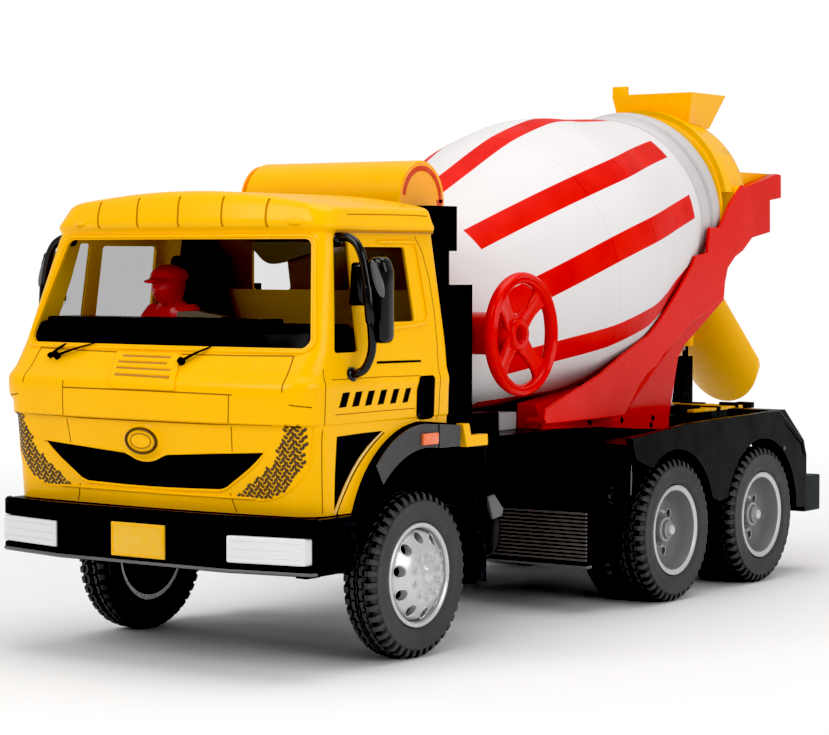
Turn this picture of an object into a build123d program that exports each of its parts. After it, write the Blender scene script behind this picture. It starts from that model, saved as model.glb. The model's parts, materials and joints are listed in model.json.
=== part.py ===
from build123d import *
import os
from math import cos, sin, radians, sqrt

os.makedirs("parts", exist_ok=True)

# Toy concrete mixer truck.
# X to the truck's left, Y rearwards, Z up; the tyres stand on Z = 0.
# Outlines are written in grid steps: 100 steps are one tyre radius.
GRID = 0.215            # mm per grid step, so the tyre radius is 21.5 mm
Y_MID = 484.0           # grid y of the middle of the whole length

# Driving dimensions, in grid steps unless the name ends in _mm
TYRE_R = 100.0
TYRE_W = 48.0
RIM_R = 63.0
FRONT_OUT = 232.6       # outer face of a front tyre
REAR_OUT = 240.0        # outer face of a twin pair
TWIN_GAP = 7.0
FRONT_Y, MID_Y, REAR_Y = 0.0, 613.0, 873.6
AXLE_R = 7.0
AXLE_PLAY = 0.25        # radial play of an axle in its bracket
DECK_Z = 246.0
CAB_WALL = 7.0
DRUM_TILT = 14.6        # degrees, mouth end high
DRUM_Y, DRUM_Z = 300.0, 399.3   # a point of the drum's axis
DRUM_WALL = 6.0
WHEEL_X, WHEEL_Y, WHEEL_Z = 248.0, 203.0, 383.0  # hand wheel centre
WHEEL_R = 78.0
CHUTE_TILT = 39.5       # degrees below level
CHUTE_R = 69.0          # half width of the trough
PIN_Y, PIN_Z = 1069.0, 323.0    # chute pin: its place and the top of the post
PIN_R = 4.5
PIN_PLAY = 0.3          # radial play of the pin in the chute's boss
HOOD_Y, HOOD_Z = 915.0, 550.0   # front face and centre height of the hood's arch

TILT = radians(DRUM_TILT)


def mm(v):
    return v * GRID


def yy(v):
    return (v - Y_MID) * GRID


def yz(points):
    return [(yy(a), mm(b)) for a, b in points]


def xz(points):
    return [(mm(a), mm(b)) for a, b in points]


def xy(points):
    return [(mm(a), yy(b)) for a, b in points]


def plane_x(x):
    return Plane.YZ.offset(mm(x))


def plane_y(y):
    return Plane.XZ.offset(-yy(y))


def plane_z(z):
    return Plane.XY.offset(mm(z))


def prism_x(outline, x0, x1, mode=Mode.ADD, r=0.0):
    """A prism along X from a (y, z) outline, its corners rounded by r."""
    with BuildSketch(plane_x(x0)) as s:
        Polygon(*yz(outline), align=None)
        if r:
            fillet(s.vertices(), mm(r))
    extrude(s.sketch, amount=mm(x1 - x0), mode=mode)


def prism_y(outline, y0, y1, mode=Mode.ADD, r=0.0):
    """A prism along Y from an (x, z) outline."""
    with BuildSketch(plane_y(y0)) as s:
        Polygon(*xz(outline), align=None)
        if r:
            fillet(s.vertices(), mm(r))
    extrude(s.sketch, amount=-mm(y1 - y0), mode=mode)


def prism_z(outline, z0, z1, mode=Mode.ADD, r=0.0):
    """A prism along Z from an (x, y) outline."""
    with BuildSketch(plane_z(z0)) as s:
        Polygon(*xy(outline), align=None)
        if r:
            fillet(s.vertices(), mm(r))
    extrude(s.sketch, amount=mm(z1 - z0), mode=mode)


def block(x0, x1, y0, y1, z0, z1, mode=Mode.ADD, r=0.0):
    prism_z([(x0, y0), (x1, y0), (x1, y1), (x0, y1)], z0, z1, mode, r)


def rod_x(y, z, r, x0, x1, mode=Mode.ADD):
    """A round bar along X."""
    with BuildSketch(plane_x(x0)) as s:
        with Locations((yy(y), mm(z))):
            Circle(mm(r))
    extrude(s.sketch, amount=mm(x1 - x0), mode=mode)


def save(part, name):
    part.part.label = name
    export_step(part.part, "parts/" + name + ".step")


# The drum's own frame: local Z along its axis towards the mouth, local X = X.
DRUM_PLANE = Plane(
    origin=(0, yy(DRUM_Y), mm(DRUM_Z)),
    x_dir=(1, 0, 0),
    z_dir=(0, cos(TILT), sin(TILT)),
)
# A sketch plane that holds the drum's axis: local x across, local y along it.
DRUM_SIDE = Plane(
    origin=(0, yy(DRUM_Y), mm(DRUM_Z)),
    x_dir=(1, 0, 0),
    z_dir=(0, -sin(TILT), cos(TILT)),
)
DRUM_AXIS = Axis((0, yy(DRUM_Y), mm(DRUM_Z)), (0, cos(TILT), sin(TILT)))


def turned(outline, mode=Mode.ADD, arc=360):
    """A body turned about the drum's axis from (radius, along) points."""
    with BuildSketch(DRUM_SIDE) as s:
        Polygon(*[(mm(r), mm(t)) for r, t in outline], align=None)
    revolve(s.sketch, axis=DRUM_AXIS, revolution_arc=arc, mode=mode)


# ---------------------------------------------------------------- wheels
# name, y of the axle, outer face of the wheel, twin tyres
AXLES = [
    ("front", FRONT_Y, FRONT_OUT, False),
    ("middle", MID_Y, REAR_OUT, True),
    ("rear", REAR_Y, REAR_OUT, True),
]


def ring_x(y, profile, x_face, side):
    """Turned about an axle: (radius, depth in from the outer face) points."""
    with BuildSketch(Plane.XZ.offset(-yy(y))) as s:
        Polygon(*[(side * mm(x_face - d), mm(TYRE_R + r)) for r, d in profile], align=None)
    revolve(s.sketch, axis=Axis((0, yy(y), mm(TYRE_R)), (1, 0, 0)))


def tyre_profile(d0):
    # radius, depth: rounded shoulders, a slightly raised sidewall
    return [
        (RIM_R, d0 + 5), (72, d0 + 1), (88, d0), (95, d0 + 3), (TYRE_R, d0 + 9),
        (TYRE_R, d0 + TYRE_W - 9), (95, d0 + TYRE_W - 3), (88, d0 + TYRE_W),
        (72, d0 + TYRE_W - 1), (RIM_R, d0 + TYRE_W - 5),
    ]


RIM_GAP = 0.3
FRONT_RIM = [  # radius, depth in from the tyre's outer face
    (AXLE_R + 0.1, 4), (14, 4), (18, 9), (44, 12), (56, 18), (57, 3), (RIM_R - RIM_GAP, 1.5),
    (RIM_R - RIM_GAP, 40), (56, 40), (52, 26), (40, 20), (20, 20), (18, 30), (AXLE_R + 0.1, 30),
]
REAR_RIM = [
    (AXLE_R + 0.1, 12), (12, 12), (16, 18), (18, 30), (44, 34), (54, 26), (57, 3), (RIM_R - RIM_GAP, 1.5),
    (RIM_R - RIM_GAP, 98), (56, 98), (56, 46), (44, 42), (20, 42), (18, 56), (AXLE_R + 0.1, 56),
]

for axle_name, axle_y, out, twin in AXLES:
    with BuildPart() as tyres:
        for side in (1, -1):
            ring_x(axle_y, tyre_profile(0), out, side)
            if twin:
                ring_x(axle_y, tyre_profile(TYRE_W + TWIN_GAP), out, side)
    save(tyres, axle_name + "_tyres")
    with BuildPart() as rims:
        for side in (1, -1):
            ring_x(axle_y, REAR_RIM if twin else FRONT_RIM, out, side)
    save(rims, axle_name + "_rims")
    with BuildPart() as axle:
        rod_x(axle_y, TYRE_R, AXLE_R, -(out - 8), out - 8)
    save(axle, axle_name + "_axle")

# ---------------------------------------------------------------- chassis
with BuildPart() as chassis:
    # deck plate
    for half, y0, y1 in ((149.5, 68, 425), (112.5, 425, 800), (125, 800, 1040), (90, 1040, 1082)):
        block(-half, half, y0, y1, DECK_Z - 14, DECK_Z)
    # two side rails, kicked down a little under the cab
    for side in (1, -1):
        prism_x(
            [(-205, 150), (-205, 205), (40, 215), (75, DECK_Z - 14), (1082, DECK_Z - 14),
             (1082, 182), (1000, 168), (90, 168), (40, 150)],
            side * 62 - 9, side * 62 + 9,
        )
    # cross members: y from, y to, z from, z to
    for y0, y1, z0, z1 in [(-205, -185, 150, 205), (150, 170, 180, 232), (400, 420, 180, 232), (735, 752, 180, 232), (1060, 1082, 182, 232)]:
        block(-62, 62, y0, y1, z0, z1)
    # axle brackets under the rails
    for axle_name, axle_y, out, twin in AXLES:
        top = 175 if twin else 155
        half = 34 if twin else 26
        for side in (1, -1):
            prism_x(
                [(axle_y - half, top), (axle_y + half, top), (axle_y + 13, 84), (axle_y - 13, 84)],
                side * 62 - 9, side * 62 + 9,
            )
    for axle_name, axle_y, out, twin in AXLES:
        rod_x(axle_y, TYRE_R, AXLE_R + AXLE_PLAY, -80, 80, Mode.SUBTRACT)
save(chassis, "chassis_frame")

with BuildPart() as box_under:
    # ribbed cross box hung under the rails ahead of the middle axle
    prism_x([(430, 64), (430, 140), (436, 146), (490, 146), (496, 140), (496, 64)], -205, 205)
    for side in (1, -1):
        block(side * 62 - 9, side * 62 + 9, 436, 490, 146, 168)
save(box_under, "under_box")

# ---------------------------------------------------------------- cab
# z, y of the front at the middle, y where the corner starts, half width, corner radius
CAB = [
    (185, -217, -206, 226, 36),
    (288, -233, -222, 230, 40),
    (290, -239, -228, 232, 42),
    (323, -239, -228, 233, 42),
    (335, -238, -226, 234, 40),
    (345, -227, -215, 230, 36),
    (377, -204, -191, 227, 22),
    (499, -165, -155, 207, 20),
    (506, -163, -153, 206, 20),
    (508, -181, -168, 212, 28),
    (514, -182, -169, 212, 28),
    (516, -180, -166, 206, 30),
    (545, -167, -152, 198, 34),
    (563, -148, -132, 180, 36),
]
CAB_BACK = 60.0


def cab_body(d, low, high, mode=Mode.ADD):
    """Stacked ruled lofts between the sections, pulled in by d."""
    rows = [r for r in CAB if low <= r[0] <= high]
    faces = []
    for z, yf, yc, w, rc in rows:
        with BuildSketch(plane_z(z)) as s:
            a, b, c, e = w - d, yf + d, yc + d, CAB_BACK - d
            q = max(rc - 0.5 * d, 6)
            with BuildLine():
                ThreePointArc((mm(-(a - q)), yy(c)), (0, yy(b)), (mm(a - q), yy(c)))
                ThreePointArc((mm(a - q), yy(c)), (mm(a - 0.293 * q), yy(c + 0.293 * q)), (mm(a), yy(c + q)))
                Polyline((mm(a), yy(c + q)), (mm(a), yy(e)), (mm(-a), yy(e)), (mm(-a), yy(c + q)))
                ThreePointArc((mm(-a), yy(c + q)), (mm(-(a - 0.293 * q)), yy(c + 0.293 * q)), (mm(-(a - q)), yy(c)))
            make_face()
        faces.append(s.sketch.face())
    loft(faces, ruled=True, mode=mode)


with BuildPart() as cab:
    cab_body(0, 185, 563)
    # crowned roof
    with BuildSketch(plane_y(-300)):
        with BuildLine():
            ThreePointArc((mm(-260), mm(526)), (0, mm(562)), (mm(260), mm(526)))
            Polyline((mm(260), mm(526)), (mm(260), mm(150)), (mm(-260), mm(150)), (mm(-260), mm(526)))
        make_face()
    extrude(amount=-mm(500), mode=Mode.INTERSECT)
    # hollow, in two steps so that the visor lip stays solid
    cab_body(CAB_WALL, 185, 506, Mode.SUBTRACT)
    prism_y([(-199, 500), (199, 500), (191, 534), (-191, 534)], -150, CAB_BACK - CAB_WALL, Mode.SUBTRACT)
    # wheel arches and open underside at the back
    with BuildSketch(plane_x(-300)):
        with BuildLine():
            ThreePointArc((yy(-132), mm(184)), (yy(-75), mm(261)), (yy(0), mm(284)))
            Polyline((yy(0), mm(284)), (yy(80), mm(277)), (yy(80), mm(150)), (yy(-132), mm(150)), (yy(-132), mm(184)))
        make_face()
    extrude(amount=mm(600), mode=Mode.SUBTRACT)
    # windscreen
    prism_y([(-208, 379), (208, 379), (184, 497), (-184, 497)], -260, -120, Mode.SUBTRACT, r=10)
    # door windows and quarter windows, both sides
    for outline, r in [
        ([(-87, 491), (-3, 491), (-1, 403), (-87, 403)], 4),
        ([(-140, 504), (-118, 500), (-134, 370), (-167, 370)], 4),
    ]:
        prism_x(outline, 180, 260, Mode.SUBTRACT, r)
        prism_x(outline, -260, -180, Mode.SUBTRACT, r)
    # back windows
    for side in (1, -1):
        prism_y([(side * 15, 437), (side * 78, 437), (side * 78, 492), (side * 15, 492)], 20, 80, Mode.SUBTRACT, r=4)
save(cab, "cab_shell")

with BuildPart() as floor:
    block(-212, 212, -185, 48, 288, 294)
    block(-60, 60, -180, 40, 215, 288)
save(floor, "cab_floor")

with BuildPart() as dash:
    prism_x([(-174, 294), (-174, 388), (-164, 398), (-128, 396), (-116, 378), (-116, 350), (-140, 330), (-140, 294)], -196, 196)
save(dash, "dashboard")

with BuildPart() as seats:
    for side in (1, -1):
        block(side * 112 - 36, side * 112 + 36, -55, 22, 294, 322)
        prism_x([(16, 322), (34, 322), (44, 460), (30, 460)], side * 112 - 34, side * 112 + 34)
        prism_x([(31, 460), (43, 460), (46, 492), (36, 492)], side * 112 - 20, side * 112 + 20)
save(seats, "seats")

DRIVER_X = -127.0
with BuildPart() as driver:
    # seated trunk, legs, shoulders, neck, head and cap; arms reach to the wheel
    block(DRIVER_X - 28, DRIVER_X + 28, -34, -2, 322.2, 400, r=8)
    block(DRIVER_X - 26, DRIVER_X + 26, -92, -34, 322.2, 342, r=4)
    prism_y([(DRIVER_X - 46, 388), (DRIVER_X - 40, 412), (DRIVER_X - 12, 422), (DRIVER_X + 12, 422),
             (DRIVER_X + 40, 412), (DRIVER_X + 46, 388), (DRIVER_X + 28, 380), (DRIVER_X - 28, 380)], -42, -14)
    for side in (1, -1):
        prism_x([(-86, 404), (-38, 384), (-30, 400), (-84, 420)], DRIVER_X + side * 36 - 8, DRIVER_X + side * 36 + 8)
    block(DRIVER_X - 10, DRIVER_X + 10, -44, -22, 418, 430)
    with Locations((mm(DRIVER_X), yy(-36), mm(445))):
        Sphere(mm(24))
    with BuildSketch(plane_z(450)):
        with Locations((mm(DRIVER_X), yy(-44))):
            Ellipse(mm(26), mm(36))
    extrude(amount=mm(5))
save(driver, "driver_figure")

with BuildPart() as steer:
    hub = Plane(origin=(mm(DRIVER_X), yy(-104), mm(399)), x_dir=(1, 0, 0), z_dir=(0, 0.5, 0.87))
    with BuildSketch(hub):
        Circle(mm(30))
        Circle(mm(25), mode=Mode.SUBTRACT)
        Rectangle(mm(52), mm(6))
        Circle(mm(8))
    extrude(amount=mm(4))
    with BuildSketch(hub):
        Circle(mm(4))
    extrude(amount=-mm(9))
save(steer, "steering_wheel")

# ---------------------------------------------------------------- cab outside
with BuildPart() as bumper:
    # plan: straight middle, swept ends, side returns to the wheel arch
    prism_z(
        [(-128, -243), (128, -243), (236, -222), (240, -214), (240, -140), (226, -140), (226, -196),
         (122, -214), (-122, -214), (-226, -196), (-226, -140), (-240, -140), (-240, -214), (-236, -222)],
        120, 184,
    )
    for side in (1, -1):
        # tie bars back to the rails, and the headlight pockets
        block(side * 62 - 9, side * 62 + 9, -214, -205, 150, 184)
        prism_z([(side * 130, -262), (side * 241, -262), (side * 241, -209.5), (side * 130, -230.5)], 131, 164.5, Mode.SUBTRACT)
save(bumper, "front_bumper")

with BuildPart() as lamps:
    for side in (1, -1):
        prism_z([(side * 131, -244), (side * 236, -223.8), (side * 239, -214), (side * 239, -210.2), (side * 131, -230.8)], 132, 163.5)
save(lamps, "headlights")

with BuildPart() as plate:
    block(-41, 41, -246, -243, 129, 169)
save(plate, "number_plate")

for side_name, side in (("left", 1), ("right", -1)):
    with BuildPart() as mirror:
        # bent tube from the door pillar out, up and back to the roof corner
        with BuildLine():
            FilletPolyline(
                (mm(side * 233), yy(-134), mm(341)), (mm(side * 242), yy(-134), mm(341)),
                (mm(side * 242), yy(-114), mm(352)), (mm(side * 240), yy(-114), mm(478)),
                (mm(side * 234), yy(-130), mm(500)), (mm(side * 207.8), yy(-130), mm(500)), radius=mm(6),
            )
        with BuildSketch(Plane(origin=(mm(side * 233), yy(-134), mm(341)), z_dir=(side, 0, 0))):
            Circle(mm(4.5))
        sweep()
        prism_y([(side * 223, 422), (side * 241, 422), (side * 241, 474), (side * 215, 474)], -124, -114)
        block(side * 257.5 - 14.5, side * 257.5 + 14.5, -127, -112, 379, 478, r=4)
    save(mirror, "mirror_" + side_name)

    with BuildPart() as fender:
        # wheel-arch liner: a band round the front wheel, closed on its inner side
        with BuildSketch(plane_x(side * 150)):
            with BuildLine():
                ThreePointArc((yy(-133), mm(176)), (yy(-77), mm(257)), (yy(0), mm(281.5)))
                Polyline((yy(0), mm(281.5)), (yy(74), mm(276)), (yy(74), mm(250)), (yy(30), mm(250)))
                ThreePointArc((yy(30), mm(250)), (yy(-62), mm(233)), (yy(-112), mm(176)))
                Line((yy(-112), mm(176)), (yy(-133), mm(176)))
            make_face()
        extrude(amount=side * mm(88))
    save(fender, "front_fender_" + side_name)

    with BuildPart() as rear_guard:
        # low plate over the four wheels, a skirt cut round the tyres, a sloped end
        block(side * 71.5, side * 229, 489, 936, 216, 226)
        with BuildSketch(plane_x(side * 228)) as s:
            Polygon(*yz([(489, 235), (588, 242), (650, 247), (801, 249), (946, 252), (1011, 202), (1019, 178), (1019, 100), (968, 102), (968, 160), (740, 130), (500, 205)]), align=None)
            for y in (MID_Y, REAR_Y):
                with Locations((yy(y), mm(TYRE_R))):
                    Circle(mm(112), mode=Mode.SUBTRACT)
        extrude(s.sketch, amount=side * mm(10))
        prism_x([(926, 216), (926, 251), (946, 252), (1011, 202), (1019, 178), (1019, 106), (1011, 106), (1011, 176), (1003, 197), (941, 240), (936, 240), (936, 216)], side * 152, side * 229)
    save(rear_guard, "rear_mudguard_" + side_name)

    with BuildPart() as flap:
        # hanger behind the front wheel, with its flap
        block(side * 213 - 22, side * 213 + 22, 100, 140, 190, 246)
        block(side * 222 - 14, side * 222 + 14, 108, 136, 78, 190)
        block(side * 171 - 20, side * 171 + 20, 108, 132, 205, 246)
    save(flap, "side_hanger_" + side_name)

    with BuildPart() as stack:
        # lower box, pipe and upper box behind the cab
        block(side * 168 - 30, side * 168 + 30, 77, 162, DECK_Z + 1, 445, r=3)
        with BuildSketch(plane_z(445)):
            with Locations((mm(side * 158), yy(148))):
                Circle(mm(11))
        extrude(amount=mm(42))
        block(side * 150 - 22, side * 150 + 22, 104, 166, 487, 543, r=3)
    save(stack, "air_stack_" + side_name)

with BuildPart() as brackets:
    for side in (1, -1):
        prism_x([(78, 277), (92, 277), (96, 262), (133, 262), (133, 248), (86, 248)], side * 234 - 6, side * 234 + 6)
save(brackets, "cab_brackets")

with BuildPart() as indicators:
    for side in (1, -1):
        block(side * 240.5 - 2.5, side * 240.5 + 2.5, -10, 22, 256, 270)
save(indicators, "turn_indicators")

with BuildPart() as tank:
    rod_x(151, 551, 50, -127.5, 127.5)
save(tank, "water_tank")

# ---------------------------------------------------------------- drum
# radius, along the axis
DRUM_OUT = [(20, -30), (118, -30), (134, -26), (154, 60), (170, 130), (193, 235), (197, 335), (188, 392), (176, 440), (157, 530), (147, 565)]
with BuildPart() as drum:
    inner = [(r - DRUM_WALL, t) for r, t in DRUM_OUT[2:]]
    turned([(0, -30)] + DRUM_OUT[1:] + [(DRUM_OUT[-1][0] - 14, 565), inner[-1]][:1] + inner[::-1][0:] + [(0, -22)])
    turned([(0, -58), (20, -58), (20, -29), (0, -29)])
save(drum, "mixing_drum")

with BuildPart() as ring:
    turned([(128, 565.2), (147, 565.2), (149, 570), (149, 588), (143, 592), (143, 597), (146, 600), (145, 618), (140, 628), (128, 628)])
save(ring, "drum_ring")

with BuildPart() as hand:
    # rim, dished spokes, hub and shaft
    with BuildSketch(Plane.XZ.offset(-yy(WHEEL_Y))):
        Polygon(*[(mm(WHEEL_X + a), mm(WHEEL_Z + b)) for a, b in [(-7, 64), (-7, 76), (-3, 78), (6, 78), (10, 73), (9, 66), (4, 62)]], align=None)
    revolve(axis=Axis((0, yy(WHEEL_Y), mm(WHEEL_Z)), (1, 0, 0)))
    rod_x(WHEEL_Y, WHEEL_Z, 27, 98, WHEEL_X - 9)
    rod_x(WHEEL_Y, WHEEL_Z, 19, WHEEL_X - 10, WHEEL_X + 1)
    rod_x(WHEEL_Y, WHEEL_Z, 9, 64, 99)
    for k in range(4):
        with BuildSketch(Plane.YZ.offset(mm(WHEEL_X - 8))):
            with Locations(Location((yy(WHEEL_Y), mm(WHEEL_Z)), 45 + 90 * k)):
                with Locations((mm(40), 0)):
                    Rectangle(mm(52), mm(15))
        extrude(amount=mm(8))
    rod_x(WHEEL_Y, WHEEL_Z, 8, WHEEL_X - 30, WHEEL_X + 12, Mode.SUBTRACT)
save(hand, "hand_wheel")

# ---------------------------------------------------------------- rear end
ENVELOPE = [(0, -36), (138.5, -36)] + [(r + 4.5, t) for r, t in DRUM_OUT[2:]] + [(152.5, 566), (152.5, 632), (0, 632)]
with BuildPart() as housing:
    # closed gear housing that carries the drum's front journal, on a wider foot
    prism_x([(160, DECK_Z), (160, 405), (185, 425), (225, 425), (262, 262), (262, DECK_Z)], -95, 95)
    block(-128, 128, 166, 328, DECK_Z, 276)
    turned(ENVELOPE, Mode.SUBTRACT)
    turned([(0, -70), (20.4, -70), (20.4, 0), (0, 0)], Mode.SUBTRACT)
    rod_x(WHEEL_Y, WHEEL_Z, 9.3, 60, 100, Mode.SUBTRACT)
save(housing, "gear_housing")

with BuildPart() as rest:
    # two pale pads on the deck under the drum's front
    for side in (1, -1):
        block(side * 70, side * 100, 374, 416, DECK_Z, 270)
    turned(ENVELOPE, Mode.SUBTRACT)
save(rest, "drum_rest")

ARM_IN, ARM_OUT = 114, 130      # inner and outer face of each rear arm

# Each flank leans in above the foot line and in front of a slanting ridge: what is
# cut is outside both leaning planes.  Points (x, y, z) and the line's other end.
LEAN = 0.36
LEAN_LINES = [((130, 435, 247), (130, 636, 247)), ((130, 636, 244), (130, 846, 386))]
flank_cuts = []
for side in (1, -1):
    with BuildPart() as cut:
        for k, (p, q) in enumerate(LEAN_LINES):
            a, b = [Vector(mm(side * x), yy(y), mm(z)) for x, y, z in (p, q)]
            along = (b - a).normalized()
            up = Vector(0, -along.Z, along.Y)
            n = (Vector(side, 0, 0) + up * LEAN).normalized()
            with Locations(Plane(origin=a, x_dir=along, z_dir=n)):
                Box(mm(2000), mm(1200), mm(120), align=(Align.CENTER, Align.CENTER, Align.MIN),
                    mode=Mode.ADD if k == 0 else Mode.INTERSECT)
    flank_cuts.append(cut.part)

with BuildPart() as pedestal:
    prism_x(
        [(435, DECK_Z), (785, DECK_Z), (812, 332), (831, 350), (877, 374), (953, 415), (956, 445), (972, 483), (1020, 507),
         (1105, 520), (1104, 570), (1142, 574), (1141, 610), (1128, 611), (1003, 583), (980, 567), (944, 533), (880, 530),
         (640, 400), (600, 316), (578, 306), (538, 295), (498, 287), (435, 280)],
        -ARM_OUT, ARM_OUT,
    )
    # skirts over the edges of the deck
    for side in (1, -1):
        prism_x([(435, 250), (435, 246), (586, 241), (699, 232), (785, 227), (785, 250)], side * (ARM_IN - 1), side * ARM_OUT)
    for cut_part in flank_cuts:
        add(cut_part, mode=Mode.SUBTRACT)
    # forked front end
    block(-88, 88, 400, 585, DECK_Z - 2, 420, Mode.SUBTRACT)
    turned(ENVELOPE, Mode.SUBTRACT)
    # open between the two arms
    prism_x([(850, 300), (1160, 300), (1160, 640), (850, 640)], -ARM_IN, ARM_IN, Mode.SUBTRACT)
save(pedestal, "rear_pedestal")


def arch(y, r, zc, low, plane_y_of=plane_y):
    """Sketch of an inverted U: half circle of radius r about zc, legs down to low."""
    with BuildSketch(plane_y_of(y)) as s:
        with BuildLine():
            ThreePointArc((mm(-r), mm(zc)), (0, mm(zc + r)), (mm(r), mm(zc)))
            Polyline((mm(r), mm(zc)), (mm(r), mm(low)), (mm(-r), mm(low)), (mm(-r), mm(zc)))
        make_face()
    return s.sketch.face()


# y, outer radius, centre height, foot: the hood narrows towards the arms
HOOD = [(HOOD_Y, 155, HOOD_Z, 535), (HOOD_Y + 20, 155, HOOD_Z, 540), (HOOD_Y + 22, 152, HOOD_Z, 541), (1000, 143, 554, 545), (1030, 112, 562, 547)]
HOOD_WALL = 11
ARM_NOTCH = [(930, 500), (944, 534), (980, 568), (1003, 584), (1128, 612), (1160, 612), (1160, 480), (930, 480)]
with BuildPart() as hood:
    for k in range(len(HOOD) - 1):
        loft([arch(*HOOD[k]), arch(*HOOD[k + 1])], ruled=True)
    for side in (1, -1):
        block(side * 112, side * 170, 900, 1160, 400, 578, Mode.SUBTRACT)
    # rear guide between the arms, open above and below
    block(-112, 112, 938, 1139, 535, 612)
    block(-101, 101, 900, 1128, 500, 640, Mode.SUBTRACT)
    for k in range(len(HOOD) - 1):
        (y0, r0, c0, f0), (y1, r1, c1, f1) = HOOD[k], HOOD[k + 1]
        loft([arch(y0 - (1 if k == 0 else 0), r0 - HOOD_WALL - 3 * (k == 0), c0, 480), arch(y1 + (1 if k == len(HOOD) - 2 else 0), r1 - HOOD_WALL, c1, 480)], ruled=True, mode=Mode.SUBTRACT)
    # clear of the arms
    for side in (1, -1):
        prism_x(ARM_NOTCH, side * (ARM_IN - 0.6), side * (ARM_OUT + 0.6), Mode.SUBTRACT)
    # throat under the hopper
    block(-46, 46, 968, 1020, 640, 740, Mode.SUBTRACT)
save(hood, "loading_hood")

# z, half width, y front, y back of the hopper funnel
HOPPER = [(680, 60, 964, 1032), (733, 71, 956, 1066)]
with BuildPart() as hopper:
    for d, mode in ((0, Mode.ADD), (7, Mode.SUBTRACT)):
        faces = []
        for z, w, y0, y1 in HOPPER:
            with BuildSketch(plane_z(z + (0 if d == 0 else (-1 if z < 700 else 1)))) as s:
                Polygon(*xy([(-w + d, y0 + d), (w - d, y0 + d), (w - d, y1 - d), (-w + d, y1 - d)]), align=None)
            faces.append(s.sketch.face())
        loft(faces, ruled=True, mode=mode)
    # small tab on the front rim
    block(-70, -44, 956.5, 962, 730, 746)
    # lies on the hood
    for k in range(len(HOOD) - 1):
        loft([arch(*HOOD[k]), arch(*HOOD[k + 1])], ruled=True, mode=Mode.SUBTRACT)
    block(-112, 112, 938, 1139, 535, 612, Mode.SUBTRACT)
save(hopper, "hopper")

# the trough's own frame: local Z down along it, local Y up out of it
CHUTE = Plane(
    origin=(0, yy(1076), mm(409)), x_dir=(-1, 0, 0),
    z_dir=(0, cos(radians(CHUTE_TILT)), -sin(radians(CHUTE_TILT))),
)
with BuildPart() as chute:
    # shallow half-oval trough
    with BuildSketch(CHUTE.offset(mm(-96))) as s:
        Ellipse(mm(CHUTE_R), mm(0.6 * CHUTE_R))
        Ellipse(mm(CHUTE_R - 6), mm(0.6 * CHUTE_R - 6), mode=Mode.SUBTRACT)
        with Locations((0, mm(50))):
            Rectangle(mm(200), mm(100), mode=Mode.SUBTRACT)
    extrude(s.sketch, amount=mm(96 + 139 + CHUTE_R))
    # rounded tip, cut square to the trough's floor
    tip = Plane(origin=CHUTE.origin, x_dir=(1, 0, 0), z_dir=CHUTE.y_dir)
    with BuildSketch(tip.offset(-mm(60))) as s:
        with Locations((0, mm(-139 if tip.y_dir.dot(CHUTE.z_dir) < 0 else 139))):
            Rectangle(mm(300), mm(160), align=(Align.CENTER, Align.MAX if tip.y_dir.dot(CHUTE.z_dir) < 0 else Align.MIN))
            Circle(mm(CHUTE_R), mode=Mode.SUBTRACT)
    extrude(s.sketch, amount=mm(120), mode=Mode.SUBTRACT)
    # boss under the trough, turning on the post's pin
    with BuildSketch(plane_z(PIN_Z + 16)) as s:
        with Locations((0, yy(PIN_Y))):
            Circle(mm(13))
    extrude(s.sketch, amount=mm(44))
    with BuildSketch(plane_z(PIN_Z + 10)) as s:
        with Locations((0, yy(PIN_Y))):
            Circle(mm(PIN_R + PIN_PLAY))
    extrude(s.sketch, amount=mm(34), mode=Mode.SUBTRACT)
save(chute, "chute")

with BuildPart() as post:
    # tapered post with its pin
    prism_x([(1040, DECK_Z), (PIN_Y + 9, DECK_Z), (PIN_Y + 9, PIN_Z), (PIN_Y - 9, PIN_Z)], -9, 9)
    with BuildSketch(plane_z(PIN_Z)) as s:
        with Locations((0, yy(PIN_Y))):
            Circle(mm(PIN_R))
    extrude(s.sketch, amount=mm(40))
save(post, "chute_post")

with BuildPart() as tray:
    block(-125, 125, 872, 1030, DECK_Z, DECK_Z + 5, r=4)
save(tray, "deck_tray")

with BuildPart() as rear_boxes:
    for side in (1, -1):
        block(side * 190 - 46, side * 190 + 46, 1019.2, 1072, 92, 146, r=3)
save(rear_boxes, "rear_lamp_boxes")
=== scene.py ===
import json
import math
import random

import bmesh
import bpy
from mathutils import Matrix, Vector, geometry
from mathutils.bvhtree import BVHTree

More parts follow.
